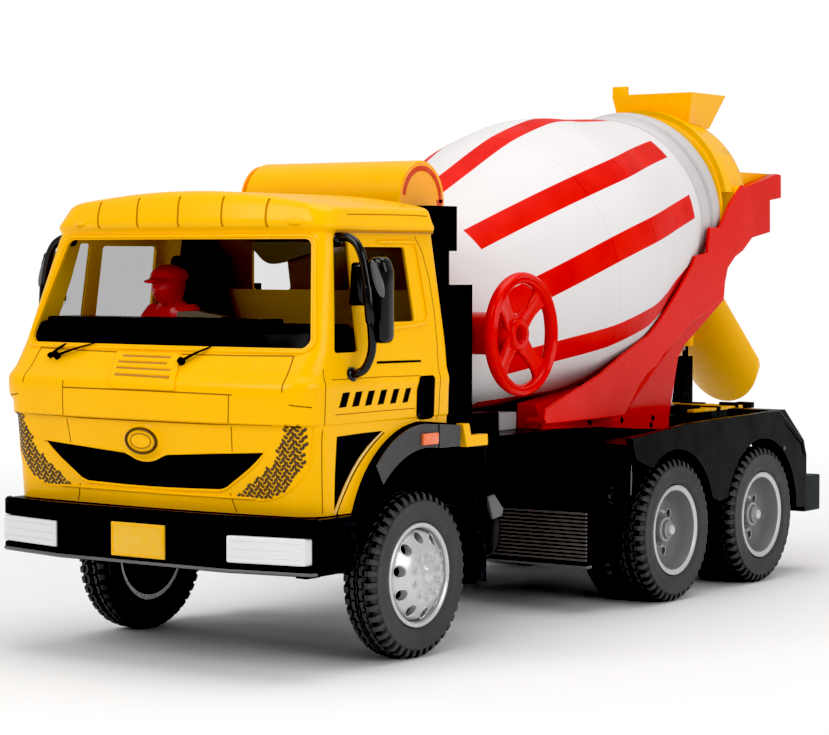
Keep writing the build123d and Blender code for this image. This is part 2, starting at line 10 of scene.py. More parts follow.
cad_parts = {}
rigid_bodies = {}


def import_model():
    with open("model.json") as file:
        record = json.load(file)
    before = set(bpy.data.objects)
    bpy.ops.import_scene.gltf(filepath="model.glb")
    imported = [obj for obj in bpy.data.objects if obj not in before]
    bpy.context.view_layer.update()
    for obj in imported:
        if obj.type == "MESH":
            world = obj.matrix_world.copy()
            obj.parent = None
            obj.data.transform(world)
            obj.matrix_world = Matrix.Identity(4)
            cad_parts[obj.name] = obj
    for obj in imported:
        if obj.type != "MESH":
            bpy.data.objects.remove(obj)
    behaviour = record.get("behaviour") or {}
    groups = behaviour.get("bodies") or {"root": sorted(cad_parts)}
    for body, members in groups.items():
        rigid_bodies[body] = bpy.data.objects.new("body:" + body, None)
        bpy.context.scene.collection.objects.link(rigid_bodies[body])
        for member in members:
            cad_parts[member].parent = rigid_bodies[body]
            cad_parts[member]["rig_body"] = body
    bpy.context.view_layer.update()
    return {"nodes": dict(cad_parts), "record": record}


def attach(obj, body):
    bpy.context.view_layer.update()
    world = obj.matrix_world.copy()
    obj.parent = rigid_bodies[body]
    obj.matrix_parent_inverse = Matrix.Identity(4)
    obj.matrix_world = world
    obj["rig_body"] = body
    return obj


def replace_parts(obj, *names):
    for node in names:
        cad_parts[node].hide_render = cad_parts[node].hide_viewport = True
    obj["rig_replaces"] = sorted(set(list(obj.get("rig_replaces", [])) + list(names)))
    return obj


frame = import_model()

random.seed(7)
NODES = frame["nodes"]

# One grid step is a hundredth of a tyre's radius; x to the truck's left, y rearwards, z up.
G = 0.000215
Y_MID = 484.0


def pt(x, y, z):
    return Vector((x * G, (y - Y_MID) * G, z * G))


def grid(v):
    return (v[0] / G, v[1] / G + Y_MID, v[2] / G)


# ------------------------------------------------------------------ camera, floor, light
cam_data = bpy.data.cameras.new("camera")
cam_data.lens = 108.27
cam_data.sensor_width = 36.0
cam_data.clip_start = 0.01
cam_data.clip_end = 50.0
cam = bpy.data.objects.new("camera", cam_data)
bpy.context.scene.collection.objects.link(cam)
cam.location = (0.413888, -0.626639, 0.102641)
cam.rotation_euler = (math.radians(87.5), math.radians(-0.06), math.radians(35.02))
bpy.context.scene.camera = cam

scene = bpy.context.scene
scene.view_settings.view_transform = "Standard"
scene.view_settings.look = "None"
scene.view_settings.exposure = 0.0

world = bpy.data.worlds.new("studio")
scene.world = world
world.use_nodes = True
bg = world.node_tree.nodes["Background"]
bg.inputs["Color"].default_value = (1.0, 1.0, 1.0, 1.0)
bg.inputs["Strength"].default_value = 0.55


def area(name, loc, target, size, power, colour=(1, 1, 1), size_y=None):
    d = bpy.data.lights.new(name, "AREA")
    d.energy = power
    d.color = colour
    d.size = size
    if size_y:
        d.shape = "RECTANGLE"
        d.size_y = size_y
    o = bpy.data.objects.new(name, d)
    scene.collection.objects.link(o)
    o.location = loc
    o.rotation_euler = (Vector(target) - Vector(loc)).to_track_quat("-Z", "Y").to_euler()
    return o


area("key", (-0.35, -1.15, 0.95), (0.0, -0.05, 0.06), 0.7, 6.5)
area("side", (1.25, -0.35, 0.65), (0.0, 0.0, 0.06), 0.8, 5.0)
area("top", (0.1, 0.15, 1.25), (0.0, 0.0, 0.05), 0.9, 6.0)


scene.view_settings.use_curve_mapping = True
scene.view_settings.curve_mapping.black_level = (0.024, 0.024, 0.024)
scene.view_settings.curve_mapping.update()


# ------------------------------------------------------------------ materials
def node(nt, kind, loc=None, **values):
    n = nt.nodes.new(kind)
    for k, v in values.items():
        setattr(n, k, v)
    return n


def ramp(nt, source, a, b, lo, hi):
    m = node(nt, "ShaderNodeMapRange")
    nt.links.new(source, m.inputs["Value"])
    m.inputs["From Min"].default_value = a
    m.inputs["From Max"].default_value = b
    m.inputs["To Min"].default_value = lo
    m.inputs["To Max"].default_value = hi
    return m.outputs["Result"]


def noise(nt, vec, scale, detail=3.0, rough=0.55):
    n = node(nt, "ShaderNodeTexNoise")
    n.inputs["Scale"].default_value = scale
    n.inputs["Detail"].default_value = detail
    n.inputs["Roughness"].default_value = rough
    nt.links.new(vec, n.inputs["Vector"])
    return n.outputs["Fac"]


def mix_rgb(nt, fac, a, b, blend="MIX"):
    m = node(nt, "ShaderNodeMix", data_type="RGBA", blend_type=blend)
    for socket, value in ((m.inputs[0], fac), (m.inputs[6], a), (m.inputs[7], b)):
        if hasattr(value, "links") or isinstance(value, bpy.types.NodeSocket):
            nt.links.new(value, socket)
        elif isinstance(value, (int, float)):
            socket.default_value = value
        else:
            socket.default_value = (*value, 1.0) if len(value) == 3 else value
    return m.outputs[2]


def math_node(nt, op, a, b=None, clamp=False):
    m = node(nt, "ShaderNodeMath", operation=op, use_clamp=clamp)
    for i, v in enumerate((a, b)):
        if v is None:
            continue
        if isinstance(v, (int, float)):
            m.inputs[i].default_value = v
        else:
            nt.links.new(v, m.inputs[i])
    return m.outputs[0]


def shade(col, k):
    return tuple(min(1.0, max(0.0, c * k)) for c in col)


def plastic(name, col, rough=0.3, vary=0.06, peel=0.05, wear=0.25, wear_col=None, metallic=0.0,
            coat=0.0, spec=0.5, colour_of=None, height_of=None, height_dist=0.0002, smudge=0.07, sss=0.0, dirt=0.15):
    """Moulded plastic: slow colour drift, fine orange peel, smudged gloss, paler worn edges and painted shade darkening
    the hollows.
    """
    m = bpy.data.materials.new(name)
    m.use_nodes = True
    nt = m.node_tree
    bsdf = nt.nodes["Principled BSDF"]
    tc = node(nt, "ShaderNodeTexCoord")
    vec = tc.outputs["Object"]
    slow = noise(nt, vec, 22.0, 2.0)
    fine = noise(nt, vec, 1700.0, 2.0)
    cloudy = noise(nt, vec, 130.0, 4.0, 0.6)
    base = mix_rgb(nt, ramp(nt, slow, 0.35, 0.65, 0.0, 1.0), shade(col, 1 - vary), shade(col, 1 + vary))
    if colour_of:
        base = colour_of(nt, vec, base)
    geo = node(nt, "ShaderNodeNewGeometry")
    pointy = geo.outputs["Pointiness"]
    edge = ramp(nt, pointy, 0.53, 0.62, 0.0, 1.0)
    scratch = ramp(nt, noise(nt, vec, 420.0, 3.0), 0.42, 0.62, 0.2, 1.0)
    worn = math_node(nt, "MULTIPLY", math_node(nt, "MULTIPLY", edge, scratch), wear)
    base = mix_rgb(nt, worn, base, wear_col or tuple(0.55 * c + 0.45 * max(col) for c in col))
    # painted shade: hollows (low pointiness) darken towards 45% of the base colour
    painted_hollow_shade = math_node(nt, "MULTIPLY", ramp(nt, pointy, 0.47, 0.40, 0.0, 1.0), dirt)
    base = mix_rgb(nt, painted_hollow_shade, base, shade(col, 0.45))
    nt.links.new(base, bsdf.inputs["Base Color"])
    nt.links.new(ramp(nt, cloudy, 0.3, 0.7, max(0.04, rough - smudge), min(1.0, rough + smudge)), bsdf.inputs["Roughness"])
    bump = node(nt, "ShaderNodeBump")
    bump.inputs["Strength"].default_value = peel
    bump.inputs["Distance"].default_value = 0.0001
    nt.links.new(fine, bump.inputs["Height"])
    if height_of:
        second = node(nt, "ShaderNodeBump")
        second.inputs["Strength"].default_value = 1.0
        second.inputs["Distance"].default_value = height_dist
        nt.links.new(height_of(nt, vec), second.inputs["Height"])
        nt.links.new(bump.outputs["Normal"], second.inputs["Normal"])
        bump = second
    nt.links.new(bump.outputs["Normal"], bsdf.inputs["Normal"])
    bsdf.inputs["Metallic"].default_value = metallic
    bsdf.inputs["Specular IOR Level"].default_value = spec
    if coat:
        bsdf.inputs["Coat Weight"].default_value = coat
        bsdf.inputs["Coat Roughness"].default_value = 0.08
    if sss:
        bsdf.inputs["Subsurface Weight"].default_value = sss
        bsdf.inputs["Subsurface Radius"].default_value = (0.0012, 0.0007, 0.0003)
        bsdf.inputs["Subsurface Scale"].default_value = 1.0
    return m


YELLOW = (0.95, 0.485, 0.008)
RED = (0.72, 0.010, 0.004)
WHITE = (0.80, 0.79, 0.80)
BLACK = (0.0045, 0.0045, 0.005)

M = {}
M["yellow"] = plastic("yellow_moulded", YELLOW, rough=0.30, vary=0.03, coat=0.05, spec=0.22, wear=0.12, wear_col=(1.0, 0.58, 0.06), dirt=0.1)
# inner cab walls: painted shade, a dark olive copy of the yellow
M["yellow_inside"] = plastic("yellow_inside", (0.30, 0.19, 0.012), rough=0.6, vary=0.12, spec=0.1)
# the lit copy of the inner walls, for the lower back wall and the right inner wall
M["yellow_low"] = plastic("yellow_inside_low", (0.95, 0.56, 0.02), rough=0.6, vary=0.1, spec=0.1)
# groove floors: painted shade, a dark brown copy of the yellow
M["groove"] = plastic("yellow_groove", (0.42, 0.17, 0.002), rough=0.55, vary=0.12)
# chute yellow, given a painted glow below
M["yellow_soft"] = plastic("yellow_chute", (0.99, 0.51, 0.016), rough=0.3, vary=0.03, coat=0.05, spec=0.22, wear=0.1)
M["red"] = plastic("red_moulded", RED, rough=0.26, vary=0.05, coat=0.12, spec=0.16, wear=0.12, wear_col=(0.9, 0.10, 0.06))
M["black"] = plastic("black_moulded", BLACK, rough=0.26, vary=0.25, peel=0.09, wear=0.25, wear_col=(0.05, 0.05, 0.055), dirt=0.1, spec=0.05)
M["black_gloss"] = plastic("black_gloss", (0.004, 0.004, 0.0045), rough=0.14, vary=0.1, peel=0.05, wear=0.1, wear_col=(0.05, 0.05, 0.05), dirt=0.05, spec=0.4, coat=0.15)
M["lamp_box"] = plastic("lamp_box_dark", (0.034, 0.038, 0.038), rough=0.5, vary=0.1, spec=0.08)
M["black_satin"] = plastic("black_satin", (0.005, 0.005, 0.0055), rough=0.5, vary=0.25, peel=0.18, wear=0.35, wear_col=(0.04, 0.04, 0.04), dirt=0.3, spec=0.12)
M["ink"] = plastic("black_print", (0.003, 0.0026, 0.0026), rough=0.3, vary=0.2, peel=0.03, wear=0.05, spec=0.10)
M["cream"] = plastic("cream_print", (0.75, 0.55, 0.25), rough=0.3)
M["brown"] = plastic("brown_print", (0.085, 0.036, 0.003), rough=0.4, vary=0.3)
M["grey"] = plastic("grey_moulded", (0.115, 0.112, 0.115), rough=0.42, vary=0.1, wear=0.2, wear_col=(0.25, 0.25, 0.25))
M["pale"] = plastic("pale_moulded", (0.42, 0.42, 0.43), rough=0.4, vary=0.08)
M["white"] = plastic("white_moulded", WHITE, rough=0.24, vary=0.03, coat=0.2, wear=0.1, sss=0.04)
M["lamp"] = plastic("lamp_white", (0.72, 0.72, 0.74), rough=0.2, vary=0.04, coat=0.2, dirt=0.05)
M["orange"] = plastic("orange_lens", (0.90, 0.16, 0.03), rough=0.2, vary=0.06, coat=0.4)
M["silver"] = plastic("silver_paint", (0.60, 0.60, 0.61), rough=0.30, vary=0.06, metallic=0.45, wear=0.25, wear_col=(0.75, 0.75, 0.76), dirt=0.5)
M["pale_ring"] = plastic("pale_ring_moulded", (0.58, 0.56, 0.56), rough=0.34, vary=0.05, wear=0.1, spec=0.3)
M["plate"] = plastic("plate_yellow", (0.78, 0.45, 0.03), rough=0.38, vary=0.05, spec=0.2)
M["tank_patch"] = plastic("tank_end_orange", (1.0, 0.40, 0.035), rough=0.34, vary=0.06, spec=0.2, wear=0.1)
M["arrow"] = plastic("arrow_print", (0.70, 0.05, 0.004), rough=0.35, vary=0.08, spec=0.2)
M["flap"] = plastic("flap_brown", (0.26, 0.21, 0.15), rough=0.55, vary=0.15, spec=0.2)
M["dark_grey"] = plastic("dark_grey_moulded", (0.035, 0.035, 0.036), rough=0.4, vary=0.2, wear=0.4, wear_col=(0.12, 0.12, 0.12), spec=0.25)
# roof rib floors: painted shade, a darker copy of the yellow
M["rib"] = plastic("yellow_rib", (0.62, 0.28, 0.003), rough=0.45, vary=0.06, spec=0.2)
M["fender_grey"] = plastic("fender_grey", (0.075, 0.074, 0.077), rough=0.42, vary=0.08, wear=0.15, wear_col=(0.16, 0.16, 0.16), spec=0.2)
# lighter grey for the under box's shaded front: painted light
M["box_grey"] = plastic("underbody_grey", (0.105, 0.094, 0.09), rough=0.55, vary=0.3, wear=0.3, wear_col=(0.25, 0.24, 0.23), spec=0.2)
# darker silver for the twin rims' deep dish: painted shade
M["silver_dark"] = plastic("silver_dish", (0.30, 0.30, 0.30), rough=0.36, vary=0.08, metallic=0.4, wear=0.2, wear_col=(0.45, 0.45, 0.45), dirt=0.3)
M["red_smooth"] = plastic("red_smooth", RED, rough=0.3, vary=0.03, coat=0.12, spec=0.16, wear=0.03, wear_col=(0.9, 0.10, 0.06))
M["red_figure"] = plastic("red_figure", (0.98, 0.03, 0.035), rough=0.3, vary=0.05, coat=0.2, spec=0.35, wear=0.1)
# painted light: the chute yellow and the tank end's orange glow faintly, though neither is a lamp
for key, tint, amount in (("yellow_soft", (1.0, 0.5, 0.03, 1.0), 0.24), ("tank_patch", (1.0, 0.38, 0.05, 1.0), 0.08)):
    sh = M[key].node_tree.nodes["Principled BSDF"]
    sh.inputs["Emission Color"].default_value = tint
    sh.inputs["Emission Strength"].default_value = amount
M["steel"] = plastic("steel_rod", (0.45, 0.45, 0.46), rough=0.3, vary=0.1, metallic=1.0)
M["glass"] = plastic("mirror_glass", (0.30, 0.31, 0.33), rough=0.08, vary=0.1, metallic=0.8, peel=0.01)

M["pane"] = plastic("smoked_pane", (0.010, 0.010, 0.010), rough=0.12, vary=0.1, peel=0.01, wear=0.0, dirt=0.0, spec=0.12)
M["pane"].node_tree.nodes["Principled BSDF"].inputs["Alpha"].default_value = 0.33
M["pane_light"] = plastic("clear_pane", (0.012, 0.012, 0.012), rough=0.12, vary=0.1, peel=0.01, wear=0.0, dirt=0.0, spec=0.12)
M["pane_light"].node_tree.nodes["Principled BSDF"].inputs["Alpha"].default_value = 0.14
M["sidewall"] = plastic("tyre_rubber", (0.046, 0.047, 0.045), rough=0.55, vary=0.18, peel=0.2, wear=0.5, wear_col=(0.085, 0.083, 0.08), dirt=0.4, spec=0.4)

floor_mat = plastic("floor_paper", (0.90, 0.90, 0.905), rough=0.85, vary=0.004, peel=0.1, wear=0.0, spec=0.15, dirt=0.0)

SLOT_MATS = {
    "black_plastic": "black", "grey_plastic": "grey", "lamp_white": "lamp", "orange_plastic": "orange",
    "pale_plastic": "pale", "red_plastic": "red", "silver_plastic": "silver", "steel": "steel",
    "tyre": "sidewall", "white_plastic": "white", "yellow_plastic": "yellow",
}

# a wide pale floor that runs out into the white surround
def far_white(m):
    nt = m.node_tree
    out = nt.nodes["Material Output"]
    bsdf = nt.nodes["Principled BSDF"]
    tc = node(nt, "ShaderNodeTexCoord")
    ln = node(nt, "ShaderNodeVectorMath", operation="LENGTH")
    nt.links.new(tc.outputs["Object"], ln.inputs[0])
    fac = ramp(nt, ln.outputs["Value"], 0.26, 0.60, 0.0, 1.0)
    em = node(nt, "ShaderNodeEmission")
    em.inputs["Color"].default_value = (1, 1, 1, 1)
    em.inputs["Strength"].default_value = 1.02
    mx = node(nt, "ShaderNodeMixShader")
    nt.links.new(fac, mx.inputs[0])
    nt.links.new(bsdf.outputs[0], mx.inputs[1])
    nt.links.new(em.outputs[0], mx.inputs[2])
    nt.links.new(mx.outputs[0], out.inputs["Surface"])


far_white(floor_mat)
me = bpy.data.meshes.new("floor")
ring_r = [0.05, 0.2, 0.4, 0.8, 2.0, 6.0, 20.0, 60.0]
vs = [(0, 0, 0)] + [(r * math.cos(2 * math.pi * k / 48), r * math.sin(2 * math.pi * k / 48), 0.0) for r in ring_r for k in range(48)]
fs = [(0, 1 + k, 1 + (k + 1) % 48) for k in range(48)]
for i in range(len(ring_r) - 1):
    fs += [(1 + i * 48 + k, 1 + (i + 1) * 48 + k, 1 + (i + 1) * 48 + (k + 1) % 48, 1 + i * 48 + (k + 1) % 48) for k in range(48)]
me.from_pydata(vs, [], fs)
me.materials.append(floor_mat)
floor = bpy.data.objects.new("floor", me)
floor.location = (0, 0, -0.00002)
scene.collection.objects.link(floor)

# the surround is white where it is seen, and softer as a light
wt = world.node_tree
lp = wt.nodes.new("ShaderNodeLightPath")
seen = wt.nodes.new("ShaderNodeBackground")
seen.inputs["Color"].default_value = (1, 1, 1, 1)
seen.inputs["Strength"].default_value = 1.02
wm = wt.nodes.new("ShaderNodeMixShader")
wt.links.new(lp.outputs["Is Camera Ray"], wm.inputs[0])
wt.links.new(bg.outputs[0], wm.inputs[1])
wt.links.new(seen.outputs[0], wm.inputs[2])
wt.links.new(wm.outputs[0], wt.nodes["World Output"].inputs["Surface"])


# ------------------------------------------------------------------ mesh helpers
def body_name(node_name):
    return NODES[node_name]["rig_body"]


def mesh_object(name, verts, faces, mats, body="chassis", sharp=35.0, replaces=(), slot=None, metres=False, indices=None):
    me = bpy.data.meshes.new(name)
    me.from_pydata([Vector(v) if metres else pt(*v) for v in verts], [], faces)
    me.validate()
    for p in me.polygons:
        p.use_smooth = True
    if indices:
        for p, i in zip(me.polygons, indices):
            p.material_index = i
    me.update()
    o = bpy.data.objects.new(name, me)
    scene.collection.objects.link(o)
    return dress(o, mats, body, sharp, replaces, slot)


def dress(o, mats, body="chassis", sharp=35.0, replaces=(), slot=None):
    for m in (mats if isinstance(mats, (list, tuple)) else [mats]):
        o.data.materials.append(M[m] if isinstance(m, str) else m)
    if sharp:
        bm = bmesh.new()
        bm.from_mesh(o.data)
        bmesh.ops.recalc_face_normals(bm, faces=bm.faces)
        bm.to_mesh(o.data)
        bm.free()
        for p in o.data.polygons:
            p.use_smooth = True
        o.data.set_sharp_from_angle(angle=math.radians(sharp))
    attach(o, body)
    if replaces:
        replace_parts(o, *replaces)
    return o


def bevel(o, width, segments=2, angle=38.0):
    b = o.modifiers.new("edge", "BEVEL")
    b.width = width * G
    b.segments = segments
    b.limit_method = "ANGLE"
    b.angle_limit = math.radians(angle)
    b.harden_normals = True
    return o


def bake(o):
    """Replaces the object's mesh by its evaluated one."""
    dg = bpy.context.evaluated_depsgraph_get()
    dg.update()
    me = bpy.data.meshes.new_from_object(o.evaluated_get(dg))
    o.modifiers.clear()
    o.data = me
    return o


def copy_of(node_name, new_name):
    """A workable copy of a CAD node's mesh: welded, flats merged."""
    src = NODES[node_name].data
    bm = bmesh.new()
    bm.from_mesh(src)
    bmesh.ops.remove_doubles(bm, verts=bm.verts, dist=1e-6)
    bmesh.ops.dissolve_limit(bm, angle_limit=math.radians(0.6), verts=bm.verts, edges=bm.edges)
    bmesh.ops.recalc_face_normals(bm, faces=bm.faces)
    me = bpy.data.meshes.new(new_name)
    bm.to_mesh(me)
    bm.free()
    for p in me.polygons:
        p.use_smooth = True
        p.material_index = 0
    o = bpy.data.objects.new(new_name, me)
    scene.collection.objects.link(o)
    return o


def rework(node_name, mat, width=1.4, segments=2, angle=38.0, slot=None):
    """The CAD node's own shape with softened edges."""
    o = copy_of(node_name, node_name + "_skin")
    dress(o, mat, body_name(node_name), sharp=angle, replaces=(node_name,), slot=slot)
    if width:
        bevel(o, width, segments, angle)
    return o


def prism(name, outline, axis, a, b, mats, body="chassis", soft=1.0, segments=2, sharp=35.0, **kw):
    """Extruded outline: axis 'x' takes (y, z) points, 'y' takes (x, z), 'z' takes (x, y)."""
    n = len(outline)

    def at(p, d):
        return {"x": (d, p[0], p[1]), "y": (p[0], d, p[1]), "z": (p[0], p[1], d)}[axis]
    verts = [at(p, a) for p in outline] + [at(p, b) for p in outline]
    faces = [tuple(range(n)), tuple(range(2 * n - 1, n - 1, -1))] + [(i, (i + 1) % n, n + (i + 1) % n, n + i) for i in range(n)]
    o = mesh_object(name, verts, faces, mats, body, sharp, **kw)
    if soft:
        bevel(o, soft, segments)
    return o


def box(name, x0, x1, y0, y1, z0, z1, mats, body="chassis", soft=1.0, **kw):
    return prism(name, [(x0, y0), (x1, y0), (x1, y1), (x0, y1)], "z", z0, z1, mats, body, soft, **kw)


def sweep_mesh(path, radius, sides=10, closed=False, flat=1.0, up=None):
    """(verts, faces) of a tube in grid steps along path; radius may be a number or a list."""
    pts = [Vector(p) for p in path]
    n = len(pts)
    verts, faces = [], []
    prev = None
    for i, p in enumerate(pts):
        t = (pts[(i + 1) % n] - pts[i - 1]) if closed else (pts[min(i + 1, n - 1)] - pts[max(i - 1, 0)])
        t.normalize()
        if prev is None:
            ref = Vector(up) if up else (Vector((0, 0, 1)) if abs(t.z) < 0.9 else Vector((1, 0, 0)))
            u = (ref - ref.dot(t) * t).normalized()
        else:
            u = (prev - prev.dot(t) * t).normalized()
        prev = u
        w = t.cross(u)
        r = radius[i] if isinstance(radius, (list, tuple)) else radius
        for k in range(sides):
            a = 2 * math.pi * (k + 0.5) / sides
            verts.append(p + (u * math.cos(a) * flat + w * math.sin(a)) * r)
    rings = n if closed else n - 1
    for i in range(rings):
        j = (i + 1) % n
        for k in range(sides):
            m = (k + 1) % sides
            faces.append((i * sides + k, i * sides + m, j * sides + m, j * sides + k))
    if not closed:
        faces.append(tuple(range(sides - 1, -1, -1)))
        faces.append(tuple((n - 1) * sides + k for k in range(sides)))
    return verts, faces


def smooth_path(points, steps=6, closed=False):
    """Catmull-Rom through the points."""
    out = []
    n = len(points)
    pts = [Vector(p) for p in points]
    last = n if closed else n - 1
    for i in range(last):
        p0 = pts[(i - 1) % n] if closed or i else pts[0]
        p1, p2 = pts[i], pts[(i + 1) % n]
        p3 = pts[(i + 2) % n] if closed or i + 2 < n else pts[-1]
        for s in range(steps):
            t = s / steps
            out.append(0.5 * ((2 * p1) + (p2 - p0) * t + (2 * p0 - 5 * p1 + 4 * p2 - p3) * t * t + (3 * p1 - p0 - 3 * p2 + p3) * t ** 3))
    if not closed:
        out.append(pts[-1])
    return out


def tube(name, path, radius, mats, body="chassis", sides=12, closed=False, flat=1.0, up=None, **kw):
    v, f = sweep_mesh(path, radius, sides, closed, flat, up)
    return mesh_object(name, v, f, mats, body, sharp=50.0, **kw)


def turned_mesh(profile, place, steps=64, start=0.0, closed_profile=True):
    """(verts, faces) turned from (radius, along) pairs; place(r, along, angle) gives the grid point."""
    m = len(profile)
    verts = [place(r, t, start + 2 * math.pi * k / steps) for k in range(steps) for r, t in profile]
    faces = []
    for k in range(steps):
        j = (k + 1) % steps
        for i in range(m if closed_profile else m - 1):
            q = (i + 1) % m
            faces.append((k * m + i, k * m + q, j * m + q, j * m + i))
    return verts, faces


def join(parts):
    """Joins (verts, faces) pairs."""
    verts, faces = [], []
    for v, f in parts:
        base = len(verts)
        verts += [tuple(p) for p in v]
        faces += [tuple(base + i for i in g) for g in f]
    return verts, faces


# ------------------------------------------------------------------ the cab's skin
# z, y of the front at the middle, y where the corner starts, half width, corner radius
CAB = [(185, -217, -206, 226, 36), (288, -233, -222, 230, 40), (290, -239, -228, 232, 42), (323, -239, -228, 233, 42), (335, -238, -226, 234, 40), (345, -227, -215, 230, 36),
       (377, -204, -191, 227, 22), (501, -164.5, -154.5, 207, 20), (507, -163.5, -153, 206, 21), (511, -166.5, -156, 210.5, 26), (515, -170.0, -159, 211.5, 28), (521, -171.5, -160, 208, 30), (545, -165.5, -151, 199, 34), (563, -148, -132, 182, 36)]
CORNER = {288: 1.0, 290: 2.0, 323: 5.0, 335: 7.0, 345: 8.0, 377: 10.0, 501: 3.0, 507: 2.4, 511: 2.6, 515: 2.6, 521: 5.0, 545: 15.0}


def soft_rows(rows, longest=7.5):
    """The rows with their corners rounded off and long runs divided."""
    rows = [tuple(map(float, r)) for r in rows]
    out = [rows[0]]

    def far(p, q):
        return math.dist(p[:2], q[:2])

    def lerp(p, q, t):
        return tuple(a + (b - a) * t for a, b in zip(p, q))
    for p0, p1, p2 in zip(rows, rows[1:], rows[2:]):
        r = CORNER.get(int(p1[0]), 4.0)
        d0, d1 = far(p0, p1), far(p1, p2)
        a, b = lerp(p1, p0, min(r, 0.45 * d0) / d0), lerp(p1, p2, min(r, 0.45 * d1) / d1)
        for t in (0.0, 0.25, 0.5, 0.75, 1.0):
            out.append(lerp(lerp(a, p1, t), lerp(p1, b, t), t))
    out.append(rows[-1])
    fine = [out[0]]
    for p, q in zip(out, out[1:]):
        n = max(1, math.ceil(far(p, q) / longest))
        fine += [lerp(p, q, k / n) for k in range(1, n + 1)]
    return fine


def crown(x):
    return 558.6 - x * x / (1950.0 if x > 0 else 2600.0)


def roofed(x, z):
    """Height under the crowned roof, rounded where it meets it."""
    c = crown(x)
    return z if z < c - 6 else c - 6 + 6 * (1 - math.exp(-(z - c + 6) / 6))


SPREAD = [(185, 13.0), (230, 9.5), (291, 6.0), (309, 6.5), (312, 13.5), (345, 13.0), (377, 11.5), (501, 9.5), (521, 6.0), (563, 4.0)]


def spread(x, z):
    """The right flank stands out a little more than the left one."""
    if x > -110:
        return x
    z = min(max(z, 185.0), 562.9)
    f = next(p[1] + (q[1] - p[1]) * (z - p[0]) / (q[0] - p[0]) for p, q in zip(SPREAD, SPREAD[1:]) if p[0] <= z <= q[0])
    t = min((-x - 110) / 105.0, 1.0)
    return x - f * t * t * (3 - 2 * t)


def section(z, yf, yc, w, rc, d=0.0, back=60.0):
    """Level loop of the cab, pulled in by d."""
    a, b, c, e = w - d, yf + d, yc + d, back - d
    q = max(rc - 0.5 * d, 6)
    s = a - q
    rb = 5.0
    loop = [(-s + 2 * s * k / 36, 0.0) for k in range(37)]
    loop = [(x, b + (c - b) * (x / s) ** 2) for x, _ in loop]
    loop += [(s + q * math.sin(math.radians(t)), c + q - q * math.cos(math.radians(t))) for t in (11, 22, 34, 45, 56, 67, 79, 90)]
    y0, y1 = c + q, e - rb
    loop += [(a, y0 + (y1 - y0) * k / 26) for k in range(1, 27)]
    loop += [(a - rb + rb * math.cos(math.radians(t)), e - rb + rb * math.sin(math.radians(t))) for t in (30, 60, 90)]
    half = [(x, y) for x, y in loop if x > -s - 1]
    n = 22
    loop += [((a - rb) - 2 * (a - rb) * k / n, e) for k in range(1, n)]
    loop += [(-(a - rb) - rb * math.sin(math.radians(t)), e - rb + rb * math.cos(math.radians(t))) for t in (0, 30, 60)]
    loop += [(-a, y1 - (y1 - y0) * k / 26) for k in range(0, 27)]
    loop += [(-(s + q * math.sin(math.radians(t))), c + q - q * math.cos(math.radians(t))) for t in (79, 67, 56, 45, 34, 22, 11)]
    return [(spread(x, z), y, roofed(x, z)) for x, y in loop]


def cap_loops(last, top):
    ym = -45.0
    return [[(x * k, ym + (y - ym) * k, top(x * k)) for x, y, z in last] for k in (0.93, 0.82, 0.68, 0.52, 0.36, 0.2, 0.08)]


WALL = 4.0
outer_loops = [section(*r) for r in soft_rows(CAB)]
outer_loops += cap_loops(outer_loops[-1], lambda x: roofed(x, 563.0))
inner_rows = [r for r in CAB if r[0] <= 501]
inner_loops = [section(*r, d=WALL) for r in soft_rows(inner_rows, 12.0)]
for z, w in ((505, 199.0), (512, 196.0), (524, 193.0), (531, 191.5), (534, 188.0)):
    inner_loops.append([(x, y, z) for x, y, _ in section(z, -150.0 + (4 if z > 533 else 0), -150.0 + (4 if z > 533 else 0), w, 14, back=53.0)])
inner_loops += cap_loops(inner_loops[-1], lambda x: 534.0)
LOOP = len(outer_loops[0])


def loops_mesh(loops, base=0, flip=False):
    faces = []
    for i in range(len(loops) - 1):
        for k in range(LOOP):
            m = (k + 1) % LOOP
            f = (base + i * LOOP + k, base + i * LOOP + m, base + (i + 1) * LOOP + m, base + (i + 1) * LOOP + k)
            faces.append(f[::-1] if flip else f)
    last = tuple(base + (len(loops) - 1) * LOOP + k for k in range(LOOP))
    faces.append(last[::-1] if flip else last)
    return faces


cab_verts = [p for loop in outer_loops for p in loop]
cab_bvh = BVHTree.FromPolygons([pt(*p) for p in cab_verts], loops_mesh(outer_loops))


def on_front(x, z):
    """Point and outward normal where the cab's front is at (x, z), in grid steps."""
    hit, nrm, _, _ = cab_bvh.ray_cast(pt(x, -500, z), Vector((0, 1, 0)))
    if hit is None:
        return Vector((x, -200, z)), Vector((0, -1, 0))
    if nrm.y > 0:
        nrm = -nrm
    return Vector(grid(hit)), nrm


def on_side(side):
    def at(y, z):
        hit, nrm, _, _ = cab_bvh.ray_cast(pt(side * 500, y, z), Vector((-side, 0, 0)))
        if hit is None:
            return Vector((side * 229, y, z)), Vector((side, 0, 0))
        if nrm.x * side < 0:
            nrm = -nrm
        return Vector(grid(hit)), nrm
    return at


def resample(path, step):
    out = [Vector(path[0])]
    for a, b in zip(path, path[1:]):
        a, b = Vector(a), Vector(b)
        n = max(1, int((b - a).length / step))
        out += [a.lerp(b, i / n) for i in range(1, n + 1)]
    return out


